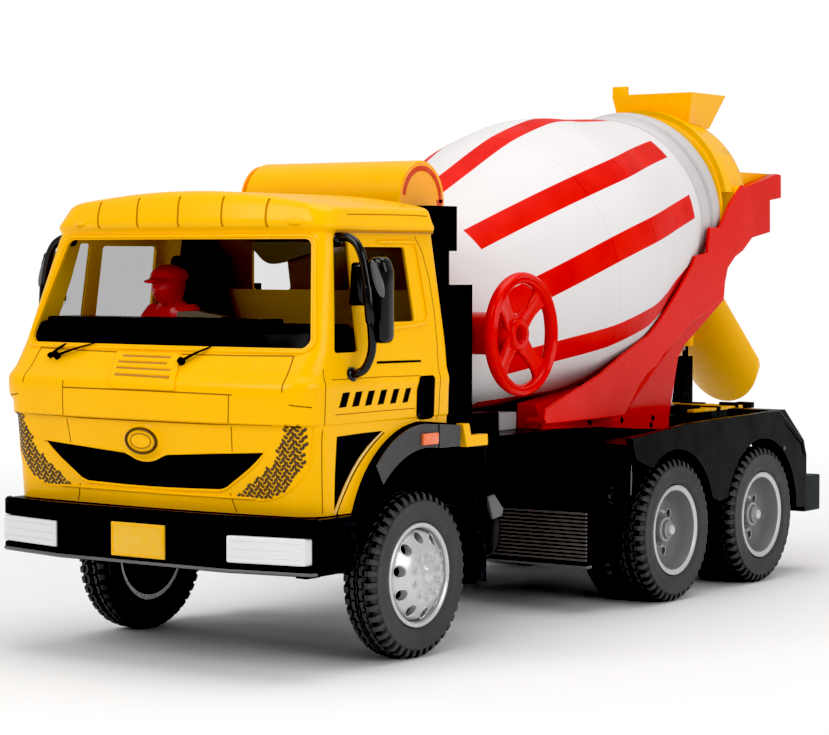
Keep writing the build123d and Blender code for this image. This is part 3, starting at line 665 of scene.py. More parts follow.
def patch(name, outline, at, mats, raise_=0.5, sink=0.8, res=7.0, body="chassis", sharp=60.0, **kw):
    """A thin closed patch that follows the skin: outline in the skin's two coordinates."""
    ring = resample(list(outline) + [outline[0]], res)[:-1]
    ring2 = [Vector((p[0], p[1])) for p in ring]
    xs, ys = [p.x for p in ring2], [p.y for p in ring2]
    inner = []
    x = min(xs) + res * 0.5
    while x < max(xs):
        y = min(ys) + res * 0.5
        while y < max(ys):
            q = Vector((x, y))
            inside = False
            j = len(ring2) - 1
            for i in range(len(ring2)):
                a, b = ring2[i], ring2[j]
                if (a.y > q.y) != (b.y > q.y) and q.x < (b.x - a.x) * (q.y - a.y) / (b.y - a.y) + a.x:
                    inside = not inside
                j = i
            near = min((a - q).length for a in ring2)
            if inside and near > res * 0.45:
                inner.append(q)
            y += res
        x += res
    n = len(ring2)
    co, _, tris, _, _, _ = geometry.delaunay_2d_cdt(ring2 + inner, [], [list(range(n))], 1, 1e-5)
    top, low = [], []
    for p in co:
        q, nn = at(p.x, p.y)
        top.append(q + nn * raise_)
        low.append(q - nn * sink)
    count = {}
    for t in tris:
        for i in range(len(t)):
            e = (t[i], t[(i + 1) % len(t)])
            count[tuple(sorted(e))] = count.get(tuple(sorted(e)), []) + [e]
    k = len(top)
    faces = [tuple(t) for t in tris] + [tuple(k + i for i in reversed(t)) for t in tris]
    for es in count.values():
        if len(es) == 1:
            a, b = es[0]
            faces.append((b, a, k + a, k + b))
    used = sorted({i for f in faces for i in f})
    remap = {i: j for j, i in enumerate(used)}
    allv = top + low
    verts = [allv[i] for i in used]
    faces = [tuple(remap[i] for i in f) for f in faces]
    if name is None:
        return verts, faces
    return mesh_object(name, verts, faces, mats, body, sharp, **kw)


def band(path, width, taper=0.0):
    """Outline of a strip of that width along a 2D path."""
    pts = [Vector((p[0], p[1])) for p in path]
    left, right = [], []
    n = len(pts)
    for i, p in enumerate(pts):
        t = (pts[min(i + 1, n - 1)] - pts[max(i - 1, 0)]).normalized()
        w = width * 0.5 * (1.0 - taper * abs(2 * i / (n - 1) - 1))
        nrm = Vector((-t.y, t.x)) * w
        left.append(p + nrm)
        right.append(p - nrm)
    return left + right[::-1]


# ------------------------------------------------------------------ wheels
TYRE_R, TYRE_W = 100.0, 48.0
PITCHES = 44


def tyre_mesh(y, x_out, side, seed=0):
    """One tyre: smooth sidewalls, notched shoulder lugs and zigzag ribs between four grooves."""
    fr = [0.0, 0.09, 0.45, 0.53, 0.62, 0.92]
    steps = [(k + f) / PITCHES for k in range(PITCHES) for f in fr]
    rnd = random.Random(seed)
    # (radius, depth from the outer face, kind, zigzag)
    cols = [(63, 5, "s", 0), (66.5, 2.2, "s", 0), (71, 1.0, "s", 0), (76, 1.3, "s", 0), (84, 0.6, "s", 0), (88.5, 0.0, "s", 0), (89.4, 1.4, "s", 0),
            (91.0, 1.8, "L", 0), (96.5, 3.6, "L", 0), (99.4, 7.0, "L", 0), (100, 10.5, "L", 0), (100, 12.4, "l", .5),
            (97.2, 12.9, "g", .5), (97.2, 15.2, "g", .8),
            (100, 15.8, "a", .8), (100, 20.4, "a", .8), (97.2, 21.0, "g", .8), (97.2, 23.0, "g", .8),
            (100, 23.6, "b", .8)]
    cols = cols + [(r, TYRE_W - d, k, z) for r, d, k, z in cols[::-1]]
    place = []
    for i, a in enumerate(steps):
        f = fr[i % len(fr)]
        th = 2 * math.pi * a
        tri = (abs((a * PITCHES) % 1.0 - 0.5) * 4 - 1)
        row = []
        for j, (r, d, kind, z) in enumerate(cols):
            rear = j >= len(cols) // 2
            ff = (f + (0.5 if rear else 0.0)) % 1.0
            rr = r
            if kind in "Ll" and 0.53 <= ff <= 0.92:
                rr = r - {0: 0, 1: 6.5}[1] * min(1.0, (r - 88) / 8.0)
            if kind == "a" and f in (0.53,):
                rr = r - 2.4
            if kind == "b" and f in (0.0,):
                rr = r - 2.4
            if kind in "Lab" and rr > 98:
                rr += rnd.uniform(-0.35, 0.0)
            dd = d + (z * 1.3 * tri if z else 0.0)
            row.append((side * (x_out - dd), y + rr * math.cos(th), TYRE_R + rr * math.sin(th)))
        place.append(row)
    m = len(cols)
    verts = [p for row in place for p in row]
    n = len(place)
    faces = [((i) * m + j, (i) * m + j + 1, ((i + 1) % n) * m + j + 1, ((i + 1) % n) * m + j) for i in range(n) for j in range(m - 1)]
    # close the bead
    faces += [(i * m + m - 1, i * m, ((i + 1) % n) * m, ((i + 1) % n) * m + m - 1) for i in range(n)]
    return verts, faces


def about_x(y, x_out, side):
    return lambda r, d, a: (side * (x_out - d), y + r * math.cos(a), TYRE_R + r * math.sin(a))


def solid_rod_x(y, z, r, x0, x1, steps=16, chamfer=0.0, start=0.0):
    """Closed bar along X with a chamfered far end."""
    rings = [(r, x0), (r, x1 - (chamfer if x1 > x0 else -chamfer)), (max(r - chamfer, 0.05), x1)] if chamfer else [(r, x0), (r, x1)]
    verts = [(x, y + q * math.cos(start + 2 * math.pi * k / steps), z + q * math.sin(start + 2 * math.pi * k / steps)) for q, x in rings for k in range(steps)]
    faces = [tuple(range(steps))[::-1], tuple((len(rings) - 1) * steps + k for k in range(steps))]
    for i in range(len(rings) - 1):
        faces += [(i * steps + k, i * steps + (k + 1) % steps, (i + 1) * steps + (k + 1) % steps, (i + 1) * steps + k) for k in range(steps)]
    return verts, faces


def boolean(o, cutters, mats=None, name="cut"):
    """Cuts the joined cutter solids, each (verts, faces) in grid steps, from o."""
    v, f = join(cutters)
    me = bpy.data.meshes.new(name)
    me.from_pydata([pt(*p) for p in v], [], f)
    bm = bmesh.new()
    bm.from_mesh(me)
    bmesh.ops.recalc_face_normals(bm, faces=bm.faces)
    bm.to_mesh(me)
    bm.free()
    if mats:
        for m in mats:
            me.materials.append(M[m] if isinstance(m, str) else m)
        for p in me.polygons:
            p.material_index = len(mats) - 1
    c = bpy.data.objects.new(name, me)
    scene.collection.objects.link(c)
    b = o.modifiers.new(name, "BOOLEAN")
    b.operation = "DIFFERENCE"
    b.solver = "EXACT"
    b.object = c
    before = o.data.copy()
    bake(o)
    if not o.data.polygons:
        o.data = before
        print("cut left out on", o.name, name)
    bpy.data.objects.remove(c)
    return o


AXLES = [("front", 0.0, 232.6, False), ("middle", 613.0, 240.0, True), ("rear", 873.6, 240.0, True)]
for k, (axle, y, out, twin) in enumerate(AXLES):
    body = axle + "_wheels"
    parts = []
    for side in (1, -1):
        parts.append(tyre_mesh(y, out, side, seed=11 + 7 * k + side))
        if twin:
            parts.append(tyre_mesh(y, out - TYRE_W - 7.0, side, seed=31 + 7 * k + side))
    v, f = join(parts)
    mesh_object(axle + "_tyre_treads", v, f, "sidewall", body, sharp=28.0, replaces=(axle + "_tyres",), slot="tyre")

    # rims
    if twin:
        prof = [(7.2, 13), (10, 12), (12.5, 13.2), (13.5, 17), (17.5, 18.5), (18.6, 21), (18.6, 29), (21, 31), (33, 32.5), (45, 35), (49, 34.4), (51.5, 30), (53.6, 22), (54.6, 8),
                (55.4, 4.2), (57.4, 2.6), (60, 1.6), (62.6, 2.6), (62.7, 98), (56, 98), (56, 46), (44, 42), (20, 42), (18, 56), (7.2, 56)]
        holes = (8, 38.5, 6.0, 28, 47)
        nuts = (8, 25.5, 3.0, 32.0, 28.2)
    else:
        prof = [(7.2, -8.4), (9, -9.6), (14, -9.8), (16.5, -8.8), (18, -8.0), (30, -8.0), (34, -6.6), (37.5, -4.4), (50, 3.2), (53, 6.6), (54.6, 12), (55.4, 16), (56.2, 9), (57.0, 3.6), (59, 1.8), (61, 1.6), (62.6, 2.6),
                (62.7, 40), (56, 40), (54, 22), (48, 11.5), (36, 4), (20, 2), (18, 30), (7.2, 30)]
        holes = (10, 45.6, 6.8, -12, 30)
        nuts = (10, 26.0, 3.9, -8.2, -11.8)
    count, hr, hrad, d0, d1 = holes
    parts, cutters, extra = [], [], []
    for side in (1, -1):
        parts.append(turned_mesh(prof, about_x(y, out, side), 80))
        for i in range(count):
            a = 2 * math.pi * (i + 0.5) / count + 0.13
            cy, cz = y + hr * math.cos(a), TYRE_R + hr * math.sin(a)
            cutters.append(solid_rod_x(cy, cz, hrad, side * (out - d0), side * (out - d1), 20))
        ncount, nr, nrad, nd0, nd1 = nuts
        for i in range(ncount):
            a = 2 * math.pi * i / ncount + 0.31
            cy, cz = y + nr * math.cos(a), TYRE_R + nr * math.sin(a)
            extra.append(solid_rod_x(cy, cz, nrad, side * (out - nd0 - 3), side * (out - nd1), 6, 0.7, start=a))
            extra.append(solid_rod_x(cy, cz, nrad * 0.45, side * (out - nd0), side * (out - nd1 + 1.3), 8, 0.4))
            # washer ring round each nut
            extra.append(solid_rod_x(cy, cz, nrad * 1.35, side * (out - nd0 - 3), side * (out - nd0 + 0.7), 14, 0.5))
        # raised ring round each hand hole
        for i in range(count):
            a = 2 * math.pi * (i + 0.5) / count + 0.13
            cy, cz = y + hr * math.cos(a), TYRE_R + hr * math.sin(a)
            ring = []
            for t in [2 * math.pi * j / 24 for j in range(24)]:
                ry, rz = cy + (hrad + 0.6) * math.cos(t), cz + (hrad + 0.6) * math.sin(t)
                rr = math.hypot(ry - y, rz - TYRE_R)
                dd = 33.4 if twin else -4.4 + (rr - 37.5) * 0.608
                ring.append((side * (out - dd), ry, rz))
            extra.append(sweep_mesh(ring, 0.9, 6, closed=True))
        # hub cap
        if twin:
            cap = [(0.05, 6.0), (4, 6.2), (6.8, 7.6), (7.8, 10), (8.4, 15), (0.05, 15)]
        else:
            cap = [(0.05, -14.2), (6, -13.6), (9.6, -12.0), (11.2, -9.4), (0.05, -8.8)]
        extra.append(turned_mesh(cap, about_x(y, out, side), 28))
        extra.append(sweep_mesh([about_x(y, out, side)(13.4 if not twin else 15.6, -9.8 if not twin else 17.6, 2 * math.pi * j / 40) for j in range(40)], 0.8, 6, closed=True))
    v, f = join(parts)
    rim = mesh_object(axle + "_rim_discs", v, f, ["silver"], body, sharp=30.0, replaces=(axle + "_rims",), slot="silver_plastic")
    boolean(rim, cutters)
    # faces inside the dish radius take the darker silver: painted shade in the deep dish
    if twin:
        rim.data.materials.append(M["silver_dark"])
        for p in rim.data.polygons:
            gx, gy, gz = grid(p.center)
            if math.hypot(gy - y, gz - TYRE_R) < 56.2:
                p.material_index = 1
    else:
        covers = [turned_mesh([(8.5, 38.5), (55.4, 38.5), (55.9, 40.5), (54.0, 42), (24, 44), (20, 52), (8.5, 52)], about_x(y, out, sd), 48) for sd in (1, -1)]
        cv, cf = join(covers)
        mesh_object(axle + "_rim_backs", cv, cf, "ink", body, sharp=30.0, slot="black_plastic")
    rim.data.set_sharp_from_angle(angle=math.radians(30))
    v, f = join(extra)
    mesh_object(axle + "_hubs_and_nuts", v, f, ["silver"], body, sharp=30.0, slot="silver_plastic")
    rework(axle + "_axle", "steel", width=0.6)


# ------------------------------------------------------------------ mixing drum
TILT = math.radians(14.6)
DRUM_O = (300.0, 399.3)
CT, ST = math.cos(TILT), math.sin(TILT)


def about_drum(r, t, a):
    """radius, along the axis towards the mouth, angle from the truck's left towards the top"""
    up = r * math.sin(a)
    return (r * math.cos(a), DRUM_O[0] + t * CT - up * ST, DRUM_O[1] + t * ST + up * CT)


def stripes(nt, vec, base):
    """Ten red stripes along the white drum, told apart by angle about its axis."""
    sep = node(nt, "ShaderNodeSeparateXYZ")
    nt.links.new(vec, sep.inputs[0])
    y = math_node(nt, "SUBTRACT", sep.outputs["Y"], (DRUM_O[0] - Y_MID) * G)
    z = math_node(nt, "SUBTRACT", sep.outputs["Z"], DRUM_O[1] * G)
    up = math_node(nt, "SUBTRACT", math_node(nt, "MULTIPLY", z, CT), math_node(nt, "MULTIPLY", y, ST))
    along = math_node(nt, "ADD", math_node(nt, "MULTIPLY", z, ST), math_node(nt, "MULTIPLY", y, CT))
    ang = math_node(nt, "ARCTAN2", up, sep.outputs["X"])
    rad = math_node(nt, "SQRT", math_node(nt, "ADD", math_node(nt, "MULTIPLY", up, up), math_node(nt, "MULTIPLY", sep.outputs["X"], sep.outputs["X"])), 0.0)
    # each stripe has its own small offset and bow
    which = math_node(nt, "FRACT", math_node(nt, "MULTIPLY", math_node(nt, "SUBTRACT", ang, math.radians(24.4)), 1 / (2 * math.pi)), 0.0)
    table = node(nt, "ShaderNodeValToRGB")
    table.color_ramp.interpolation = "CONSTANT"
    offsets = [(-3.6, 4.6, 7.4), (2.2, 3.6, 5.0), (0.8, 1.5, 1.5), (-1.2, 2.0, 2.0), (1.0, -1.0, -1.0), (0.0, 2.0, 2.0), (-1.5, 1.0, 1.0), (1.2, -1.5, -1.5), (1.6, -1.6, 0.0), (3.3, -5.2, -1.6)]
    els = table.color_ramp.elements
    while len(els) < 10:
        els.new(0.5)
    for k, (shift, bow, bow2) in enumerate(offsets):
        els[k].position = k / 10.0
        els[k].color = ((shift + 10) / 20, (bow + 10) / 20, (bow2 + 10) / 20, 1.0)
    nt.links.new(which, table.inputs[0])
    rg = node(nt, "ShaderNodeSeparateColor")
    nt.links.new(table.outputs[0], rg.inputs[0])
    shift = math_node(nt, "MULTIPLY", math_node(nt, "SUBTRACT", rg.outputs[0], 0.5), math.radians(20))
    rear = math_node(nt, "GREATER_THAN", along, 290.0 * G)
    pick = math_node(nt, "ADD", rg.outputs[1], math_node(nt, "MULTIPLY", rear, math_node(nt, "SUBTRACT", rg.outputs[2], rg.outputs[1])))
    bow = math_node(nt, "MULTIPLY", math_node(nt, "SUBTRACT", pick, 0.5), math.radians(20))
    narrow = math_node(nt, "MULTIPLY", math_node(nt, "SUBTRACT", 197.0 * G, rad), 1 / (50.0 * G))
    moved = math_node(nt, "SUBTRACT", math_node(nt, "SUBTRACT", ang, shift), math_node(nt, "MULTIPLY", bow, narrow))
    turns = math_node(nt, "MULTIPLY", moved, 10 / (2 * math.pi))
    shifted = math_node(nt, "SUBTRACT", turns, 42.4 / 36.0 - 0.5 - 20)
    frac = math_node(nt, "FRACT", shifted)
    off = math_node(nt, "MULTIPLY", math_node(nt, "ABSOLUTE", math_node(nt, "SUBTRACT", frac, 0.5)), 2 * math.pi / 10)
    half = math_node(nt, "DIVIDE", 17.9 * G, rad)
    inside = ramp(nt, math_node(nt, "SUBTRACT", half, off), -0.0012, 0.0012, 0.0, 1.0)
    a = ramp(nt, along, 24.2 * G, 25.7 * G, 0.0, 1.0)
    b = ramp(nt, along, 529.0 * G, 527.5 * G, 0.0, 1.0)
    mask = math_node(nt, "MULTIPLY", math_node(nt, "MULTIPLY", inside, a), b)
    mottled = mix_rgb(nt, ramp(nt, noise(nt, vec, 60.0, 3.0), 0.35, 0.65, 0.0, 1.0), (0.66, 0.014, 0.010), (0.78, 0.022, 0.014))
    return mix_rgb(nt, mask, base, mottled)


M["drum"] = plastic("drum_white_red", (0.76, 0.735, 0.735), rough=0.42, vary=0.02, coat=0.0, spec=0.1, wear=0.0, colour_of=stripes, dirt=0.12, sss=0.0)
OUTER = [(118, -30), (134, -26), (154, 60), (170, 130), (193, 235), (197, 335), (188, 392), (176, 440), (157, 530), (147, 565)]


def fine_profile(points, steps=5):
    """Rounded version of the drum's outline; the fine seam grooves at two places are added to it afterwards."""
    out = []
    for i in range(len(points) - 1):
        p0 = points[max(i - 1, 0)]
        p1, p2 = points[i], points[i + 1]
        p3 = points[min(i + 2, len(points) - 1)]
        for s in range(steps):
            t = s / steps
            q = []
            for c in (0, 1):
                a0, a1, a2, a3 = p0[c], p1[c], p2[c], p3[c]
                cr = 0.5 * ((2 * a1) + (a2 - a0) * t + (2 * a0 - 5 * a1 + 4 * a2 - a3) * t * t + (3 * a1 - a0 - 3 * a2 + a3) * t ** 3)
                lin = a1 + (a2 - a1) * t
                q.append(cr * 0.8 + lin * 0.2)
            out.append(tuple(q))
    out.append(points[-1])
    return out


body_line = [(134, -26)] + fine_profile(OUTER[1:])[1:]


def radius_at(t):
    for (r0, t0), (r1, t1) in zip(body_line, body_line[1:]):
        if t0 <= t <= t1:
            return r0 + (r1 - r0) * (t - t0) / max(t1 - t0, 1e-6)
    return body_line[-1][0]


marks = []
for seam in (238.0, 341.6):
    marks += [(radius_at(seam - 0.8), seam - 0.8), (radius_at(seam) - 0.9, seam), (radius_at(seam + 0.8), seam + 0.8)]
outline = sorted([p for p in body_line if all(abs(p[1] - s) > 1.6 for s in (238.0, 341.6))] + marks, key=lambda p: p[1])
wall = [(max(r - 6, 5), t) for r, t in OUTER[1:]][::-1]
profile = [(0.05, -76), (84, -76), (104, -74.6), (115, -70.6), (121.6, -64)] + outline + [(146, 565), (141, 565)] + [p for p in wall[1:] if p[0] > 128 or p[1] > 0] + [(112, -62), (60, -68), (0.05, -68)]
v, f = turned_mesh(profile, about_drum, 160)
mesh_object("drum_shell", v, f, ["drum"], "drum", sharp=32.0, replaces=("mixing_drum",), slot="white_plastic")
v, f = turned_mesh([(0.05, -58), (18.5, -58), (20, -56.5), (20, -29), (0.05, -29)], about_drum, 40)
mesh_object("drum_journal", v, f, ["white"], "drum", sharp=32.0, slot="white_plastic")
# mouth ring: two bands with a groove between them
ring_line = [(128.4, 565.3), (146.2, 565.3), (148.4, 567), (149.8, 570), (150.2, 585), (149.4, 588.4), (147.0, 590.2), (145.0, 591.4), (145.0, 597.2), (147.4, 598.6), (149.6, 600.4), (150.0, 604), (149.2, 617), (147.6, 624), (144.6, 627.7), (128.4, 627.7)]
v, f = turned_mesh(ring_line, about_drum, 144)
mesh_object("drum_mouth_ring", v, f, ["pale_ring" if "pale_ring" in M else "white"], "drum", sharp=32.0, replaces=("drum_ring",), slot="pale_plastic")

# ------------------------------------------------------------------ hand wheel
HW = (242.5, 203.0, 383.0)


def hand(r, dx, a):
    return (HW[0] + dx, HW[1] + r * math.cos(a), HW[2] + r * math.sin(a))


parts = []
rim = [(63.2, 2.5), (64.6, 6.6), (66.6, 8.4), (68.2, 7.4), (69.6, 6.0), (71.4, 7.6), (73.6, 9.0), (76, 7.4), (77.7, 3.6), (77.6, -1.6), (75.6, -5.6), (71.5, -7), (66.4, -6.6), (63.8, -3.4)]
parts.append(turned_mesh(rim, hand, 96))
hub = [(9.6, -30), (26.2, -30), (27, -22), (26.5, -11), (23.6, -7.6), (21.4, -4.6), (20.0, -0.6), (17.6, 1.0), (13.0, 1.2), (10.8, -0.8), (9.6, -4)]
parts.append(turned_mesh(hub, hand, 56))
boss = [(0.05, -150), (25.8, -150), (27, -148.4), (27, -24), (9.6, -24), (9.6, -29), (0.05, -29)]
parts.append(turned_mesh(boss, hand, 56))
parts.append(turned_mesh([(0.05, -184), (9, -184), (9, -149.5), (0.05, -149.5)], hand, 28))
for k in range(4):
    a0 = math.radians(45 + 90 * k)
    d, w = (math.cos(a0), math.sin(a0)), (-math.sin(a0), math.cos(a0))
    rows = []
    for r, half, front, back in [(15, 13.5, -3.6, -9.0), (24, 12.6, -3.9, -8.6), (33, 11.0, -3.0, -7.6), (43, 10.6, -1.6, -6.4), (54, 12.0, 0.2, -5.0), (61, 15.0, 1.6, -4.2), (66, 20.0, 2.4, -4.0)]:
        loop = []
        for s, dx in [(-1.0, back), (-1.0, front - 1.2), (-0.86, front + 0.6), (-0.62, front + 1.1), (-0.3, front - 0.2), (0.3, front - 0.2), (0.62, front + 1.1), (0.86, front + 0.6), (1.0, front - 1.2), (1.0, back)]:
            loop.append((HW[0] + dx, HW[1] + d[0] * r + w[0] * half * s, HW[2] + d[1] * r + w[1] * half * s))
        rows.append(loop)
    m = len(rows[0])
    vv = [p for row in rows for p in row]
    ff = [tuple(range(m))[::-1], tuple((len(rows) - 1) * m + i for i in range(m))]
    for i in range(len(rows) - 1):
        ff += [(i * m + j, i * m + (j + 1) % m, (i + 1) * m + (j + 1) % m, (i + 1) * m + j) for j in range(m)]
    parts.append((vv, ff))
v, f = join(parts)
mesh_object("hand_wheel_rim_and_spokes", v, f, ["red"], "hand_wheel", sharp=38.0, replaces=("hand_wheel",), slot="red_plastic")


# ------------------------------------------------------------------ cab
def depth_in_cab(x, y, z):
    """How far inside the cab's outer skin a point is."""
    x = abs(x)
    rows = [r for r in zip(CAB, CAB[1:]) if r[0][0] <= z <= r[1][0]] or [(CAB[0], CAB[0])]
    a, b = rows[0]
    t = 0 if a[0] == b[0] else (z - a[0]) / (b[0] - a[0])
    yf, yc, w, rc = [p + (q - p) * t for p, q in zip(a[1:], b[1:])]
    s = w - rc
    front = yf + (yc - yf) * (x / s) ** 2 if x <= s else yc + rc - math.sqrt(max(rc * rc - min(x - s, rc) ** 2, 0))
    return min(y - front, w - x, 60 - y, 562 - x * x / 1914 - z)


def groove(path, at, r=0.95, step=6.0):
    pts = [at(p.x, p.y)[0] for p in resample(path, step)]
    return sweep_mesh(pts, r, 6)


def mirrored(path):
    return [(-a, b) for a, b in path]


v = cab_verts + [p for loop in inner_loops for p in loop]
base = len(cab_verts)
f = loops_mesh(outer_loops) + loops_mesh(inner_loops, base, True)
f += [((k + 1) % LOOP, k, base + k, base + (k + 1) % LOOP) for k in range(LOOP)]
cab = mesh_object("cab_skin", v, f, ["yellow", "yellow_inside", "groove", "ink", "rib", "yellow_low"], "chassis", sharp=30.0, replaces=("cab_shell",), slot="yellow_plastic")
YI = ["yellow", "yellow_inside", "groove", "ink", "rib"]


def rounded(points, r, n=5):
    """Closed outline with its corners rounded."""
    out = []
    m = len(points)
    for i in range(m):
        p0, p1, p2 = Vector(points[i - 1]), Vector(points[i]), Vector(points[(i + 1) % m])
        u, w = (p0 - p1).normalized(), (p2 - p1).normalized()
        half = math.acos(max(-1, min(1, u.dot(w)))) / 2
        d = r / math.tan(half)
        c = p1 + (u + w).normalized() * (r / math.sin(half))
        a, b = p1 + u * d, p1 + w * d
        for k in range(n + 1):
            q = a.lerp(b, k / n)
            out.append(tuple(c + (q - c).normalized() * r))
    return out


def prism_vf(outline, axis, a, b):
    n = len(outline)

    def at(p, d):
        return {"x": (d, p[0], p[1]), "y": (p[0], d, p[1]), "z": (p[0], p[1], d)}[axis]
    verts = [at(p, a) for p in outline] + [at(p, b) for p in outline]
    return verts, [tuple(range(n)), tuple(range(2 * n - 1, n - 1, -1))] + [(i, (i + 1) % n, n + (i + 1) % n, n + i) for i in range(n)]


def arc3(p0, p1, p2, n=14):
    """Arc through three points of a plane."""
    ax, ay, bx, by, cx, cy = *p0, *p1, *p2
    d = 2 * (ax * (by - cy) + bx * (cy - ay) + cx * (ay - by))
    ux = ((ax * ax + ay * ay) * (by - cy) + (bx * bx + by * by) * (cy - ay) + (cx * cx + cy * cy) * (ay - by)) / d
    uy = ((ax * ax + ay * ay) * (cx - bx) + (bx * bx + by * by) * (ax - cx) + (cx * cx + cy * cy) * (bx - ax)) / d
    a0, a1, a2 = [math.atan2(q[1] - uy, q[0] - ux) for q in (p0, p1, p2)]
    r = math.hypot(ax - ux, ay - uy)
    if a2 > a0:
        a0 += 2 * math.pi
    return [(ux + r * math.cos(a0 + (a2 - a0) * k / n), uy + r * math.sin(a0 + (a2 - a0) * k / n)) for k in range(n + 1)]


ARCH = arc3((-132, 184), (-75, 261), (0, 284))
WINDSCREEN = rounded([(-221, 375.5), (212, 375.5), (186, 500), (-188, 500)], 10)
DOOR_WIN = rounded([(-87, 491), (-3, 491), (-1, 403), (-87, 403)], 4)
QUARTER = rounded([(-140, 503), (-114, 499), (-121, 370), (-167, 370)], 4)
DOOR_WIN_R = rounded([(-66, 493), (37, 493), (44, 401), (-63, 401)], 4)
QUARTER_R = rounded([(-108, 496), (-89, 496), (-87, 370), (-141, 370), (-129, 411), (-117, 452)], 3)
cuts = [prism_vf(WINDSCREEN, "y", -260, -120), prism_vf([(-132, 150)] + ARCH + [(80, 277), (80, 150)], "x", -300, 300),
        prism_vf(rounded([(-70, 438), (-8, 438), (-15.5, 492), (-70, 492)], 4), "y", 20, 80), prism_vf(rounded([(33, 438), (78, 438), (78, 492), (33, 492)], 4), "y", 20, 80)]
boolean(cab, cuts, YI[:1])
boolean(cab, [prism_vf(o, "x", s * 176, s * 262) for o, s in ((DOOR_WIN, 1), (QUARTER, 1), (DOOR_WIN_R, -1), (QUARTER_R, -1))], YI[:1])
# faces inside the skin take the dark inner yellow as painted shade; the lower back wall and the right inner wall take
# the lighter lit copy
for p in cab.data.polygons:
    near = cab_bvh.find_nearest(p.center)
    x, y, z = grid(p.center)
    inside = near[3] / G > 2.6
    p.material_index = 0 if not inside else (5 if (z < 436 and y > 40) or x < -196 else 1)

MOUTH = [(-171, 257.4), (-101, 253.0), (-36, 248.6), (-28, 245.6), (-19, 241.6), (-9, 239.6), (1, 239.6), (11, 241.6), (20, 245.6), (28, 248.8), (93, 253.0), (168, 257.2),
         (158, 248), (147, 239), (129, 226.2), (117, 218.0), (110, 214.2), (102, 212.2), (44, 210.8), (0, 210.4), (-44, 210.8), (-102, 212.2), (-112, 215.6), (-124, 223.3), (-147, 238.0), (-160, 248)]
set_a, set_b, ribs = [], [], []
# roof ribs
for top, mid, low in [((-137, 546), (-135, 530), (-131, 513.6)), ((-72, 550), (-68, 533), (-65, 514.6)), ((-6, 551), (-2, 532), (0, 514.8)), ((60, 550), (63, 532), (66, 514.6)), ((124, 547), (125.5, 531), (129, 513.6))]:
    ribs.append(groove([top, mid, low], on_front, 1.7, 4.0))
# line under the windscreen, its two ends down over the cowl
set_a.append(groove([(-196, 368.5), (-120, 367), (-62, 366.4)], on_front))
set_a.append(groove([(40, 366), (120, 366), (194, 367)], on_front))
for s in (1, -1):
    set_b.append(groove([(s * 195, 367.5), (s * 197, 347.0), (s * 199, 327.0)], on_front))
# front panel
set_a.append(groove([(-127, 323.4), (0, 323.9), (132, 322.4)], on_front, 1.0))
set_a.append(groove([(-190, 289.0), (-100, 288.2), (0, 288.2), (100, 288.2), (184, 289.0)], on_front, 1.5))
for s in (1, -1):
    set_b.append(groove([(s * 127.8, 332.0 if s < 0 else 323), (s * 127.8, 308), (s * 127.0, 290)], on_front, 0.9))
    set_b.append(groove([(s * 127.0, 286), (s * 125.5, 272), (s * 124.5, 256.5)], on_front, 0.9))
    set_a.append(groove([(s * 116, 208), (s * 119, 197), (s * 122.5, 186.5)], on_front, 1.0))
    set_a.append(groove([(s * 207.3, 313.0), (s * 218, 311.4), (s * 226.5, 310.2)], on_front, 0.9))
for s in (1, -1):
    at = on_side(s)
    # pillar line, rear door seam, mouldings, window frame step
    set_b.append(groove([(-187, 352), (-190, 340), (-190, 300), (-190.5, 272), (-187, 225), (-183.5, 188)], at, 0.9, 8.0))
    set_a.append(groove([(-112, 528.6), (-40, 529.2), (20, 529.2), (50, 528.6)], at, 0.7, 8.0))
    set_b.append(groove([(22, 504), (33, 486), (41, 452), (42.5, 415), (40, 375), (38, 330), (36, 284)], at, 0.9, 8.0))
    set_a.append(groove([(-178, 340.2), (-84, 340.0), (-4, 338.6)], at, 0.6, 10.0))
    set_a.append(groove([(-171, 300.2), (-85, 300.4), (-14, 300.2)], at, 0.6, 10.0))
# the cut faces take the last listed colour: painted shade in the roof ribs and the seam grooves
boolean(cab, ribs, YI[:5])
boolean(cab, set_a, YI[:3])
boolean(cab, set_b, YI[:3])
boolean(cab, [patch(None, MOUTH, on_front, None, raise_=9.0, sink=2.8, res=9.0)], YI[:4])
cab.data.set_sharp_from_angle(angle=math.radians(32))

patch("mouth_panel", MOUTH, on_front, "ink", raise_=-2.0, sink=3.4, res=9.0, slot="black_plastic")
# lips round the mouth and the ledge below it
tube("mouth_lip_lower", [on_front(x, z)[0] + Vector((0, 0.2, 0)) for x, z in [(-168, 257.0), (-158, 246.4), (-146, 236.6), (-124, 221.6), (-112, 213.6), (-102, 210.0), (-44, 208.8), (44, 208.8), (102, 210.0), (112, 213.6), (124, 221.6), (146, 236.6), (158, 246.4), (168, 257.0)]],
     [0.8] + [1.7] * 12 + [0.8], "yellow", slot="yellow_plastic")
tube("mouth_lip_upper", [on_front(x, z)[0] + Vector((0, 0.4, 0)) for x, z in [(-170, 258.6), (-101, 254.4), (-38, 250.2)]], 1.3, "yellow", slot="yellow_plastic")
tube("mouth_lip_upper_left", [on_front(x, z)[0] + Vector((0, 0.4, 0)) for x, z in [(30, 250.2), (93, 254.4), (168, 258.6)]], 1.3, "yellow", slot="yellow_plastic")
ledge = [Vector((x, on_front(x, 203.6)[0].y + 0.4, 203.6)) for x in range(-152, 153, 8)]
tube("lower_ledge", ledge, [1.0] + [2.6] * (len(ledge) - 2) + [1.0], "yellow", flat=0.7, slot="yellow_plastic")

# badge boss with a plain ring
BX, BZ = -5.0, 264.0


def oval(cx, cz, rx, rz, n=40):
    return [(cx + rx * math.cos(2 * math.pi * k / n), cz + rz * math.sin(2 * math.pi * k / n)) for k in range(n)]


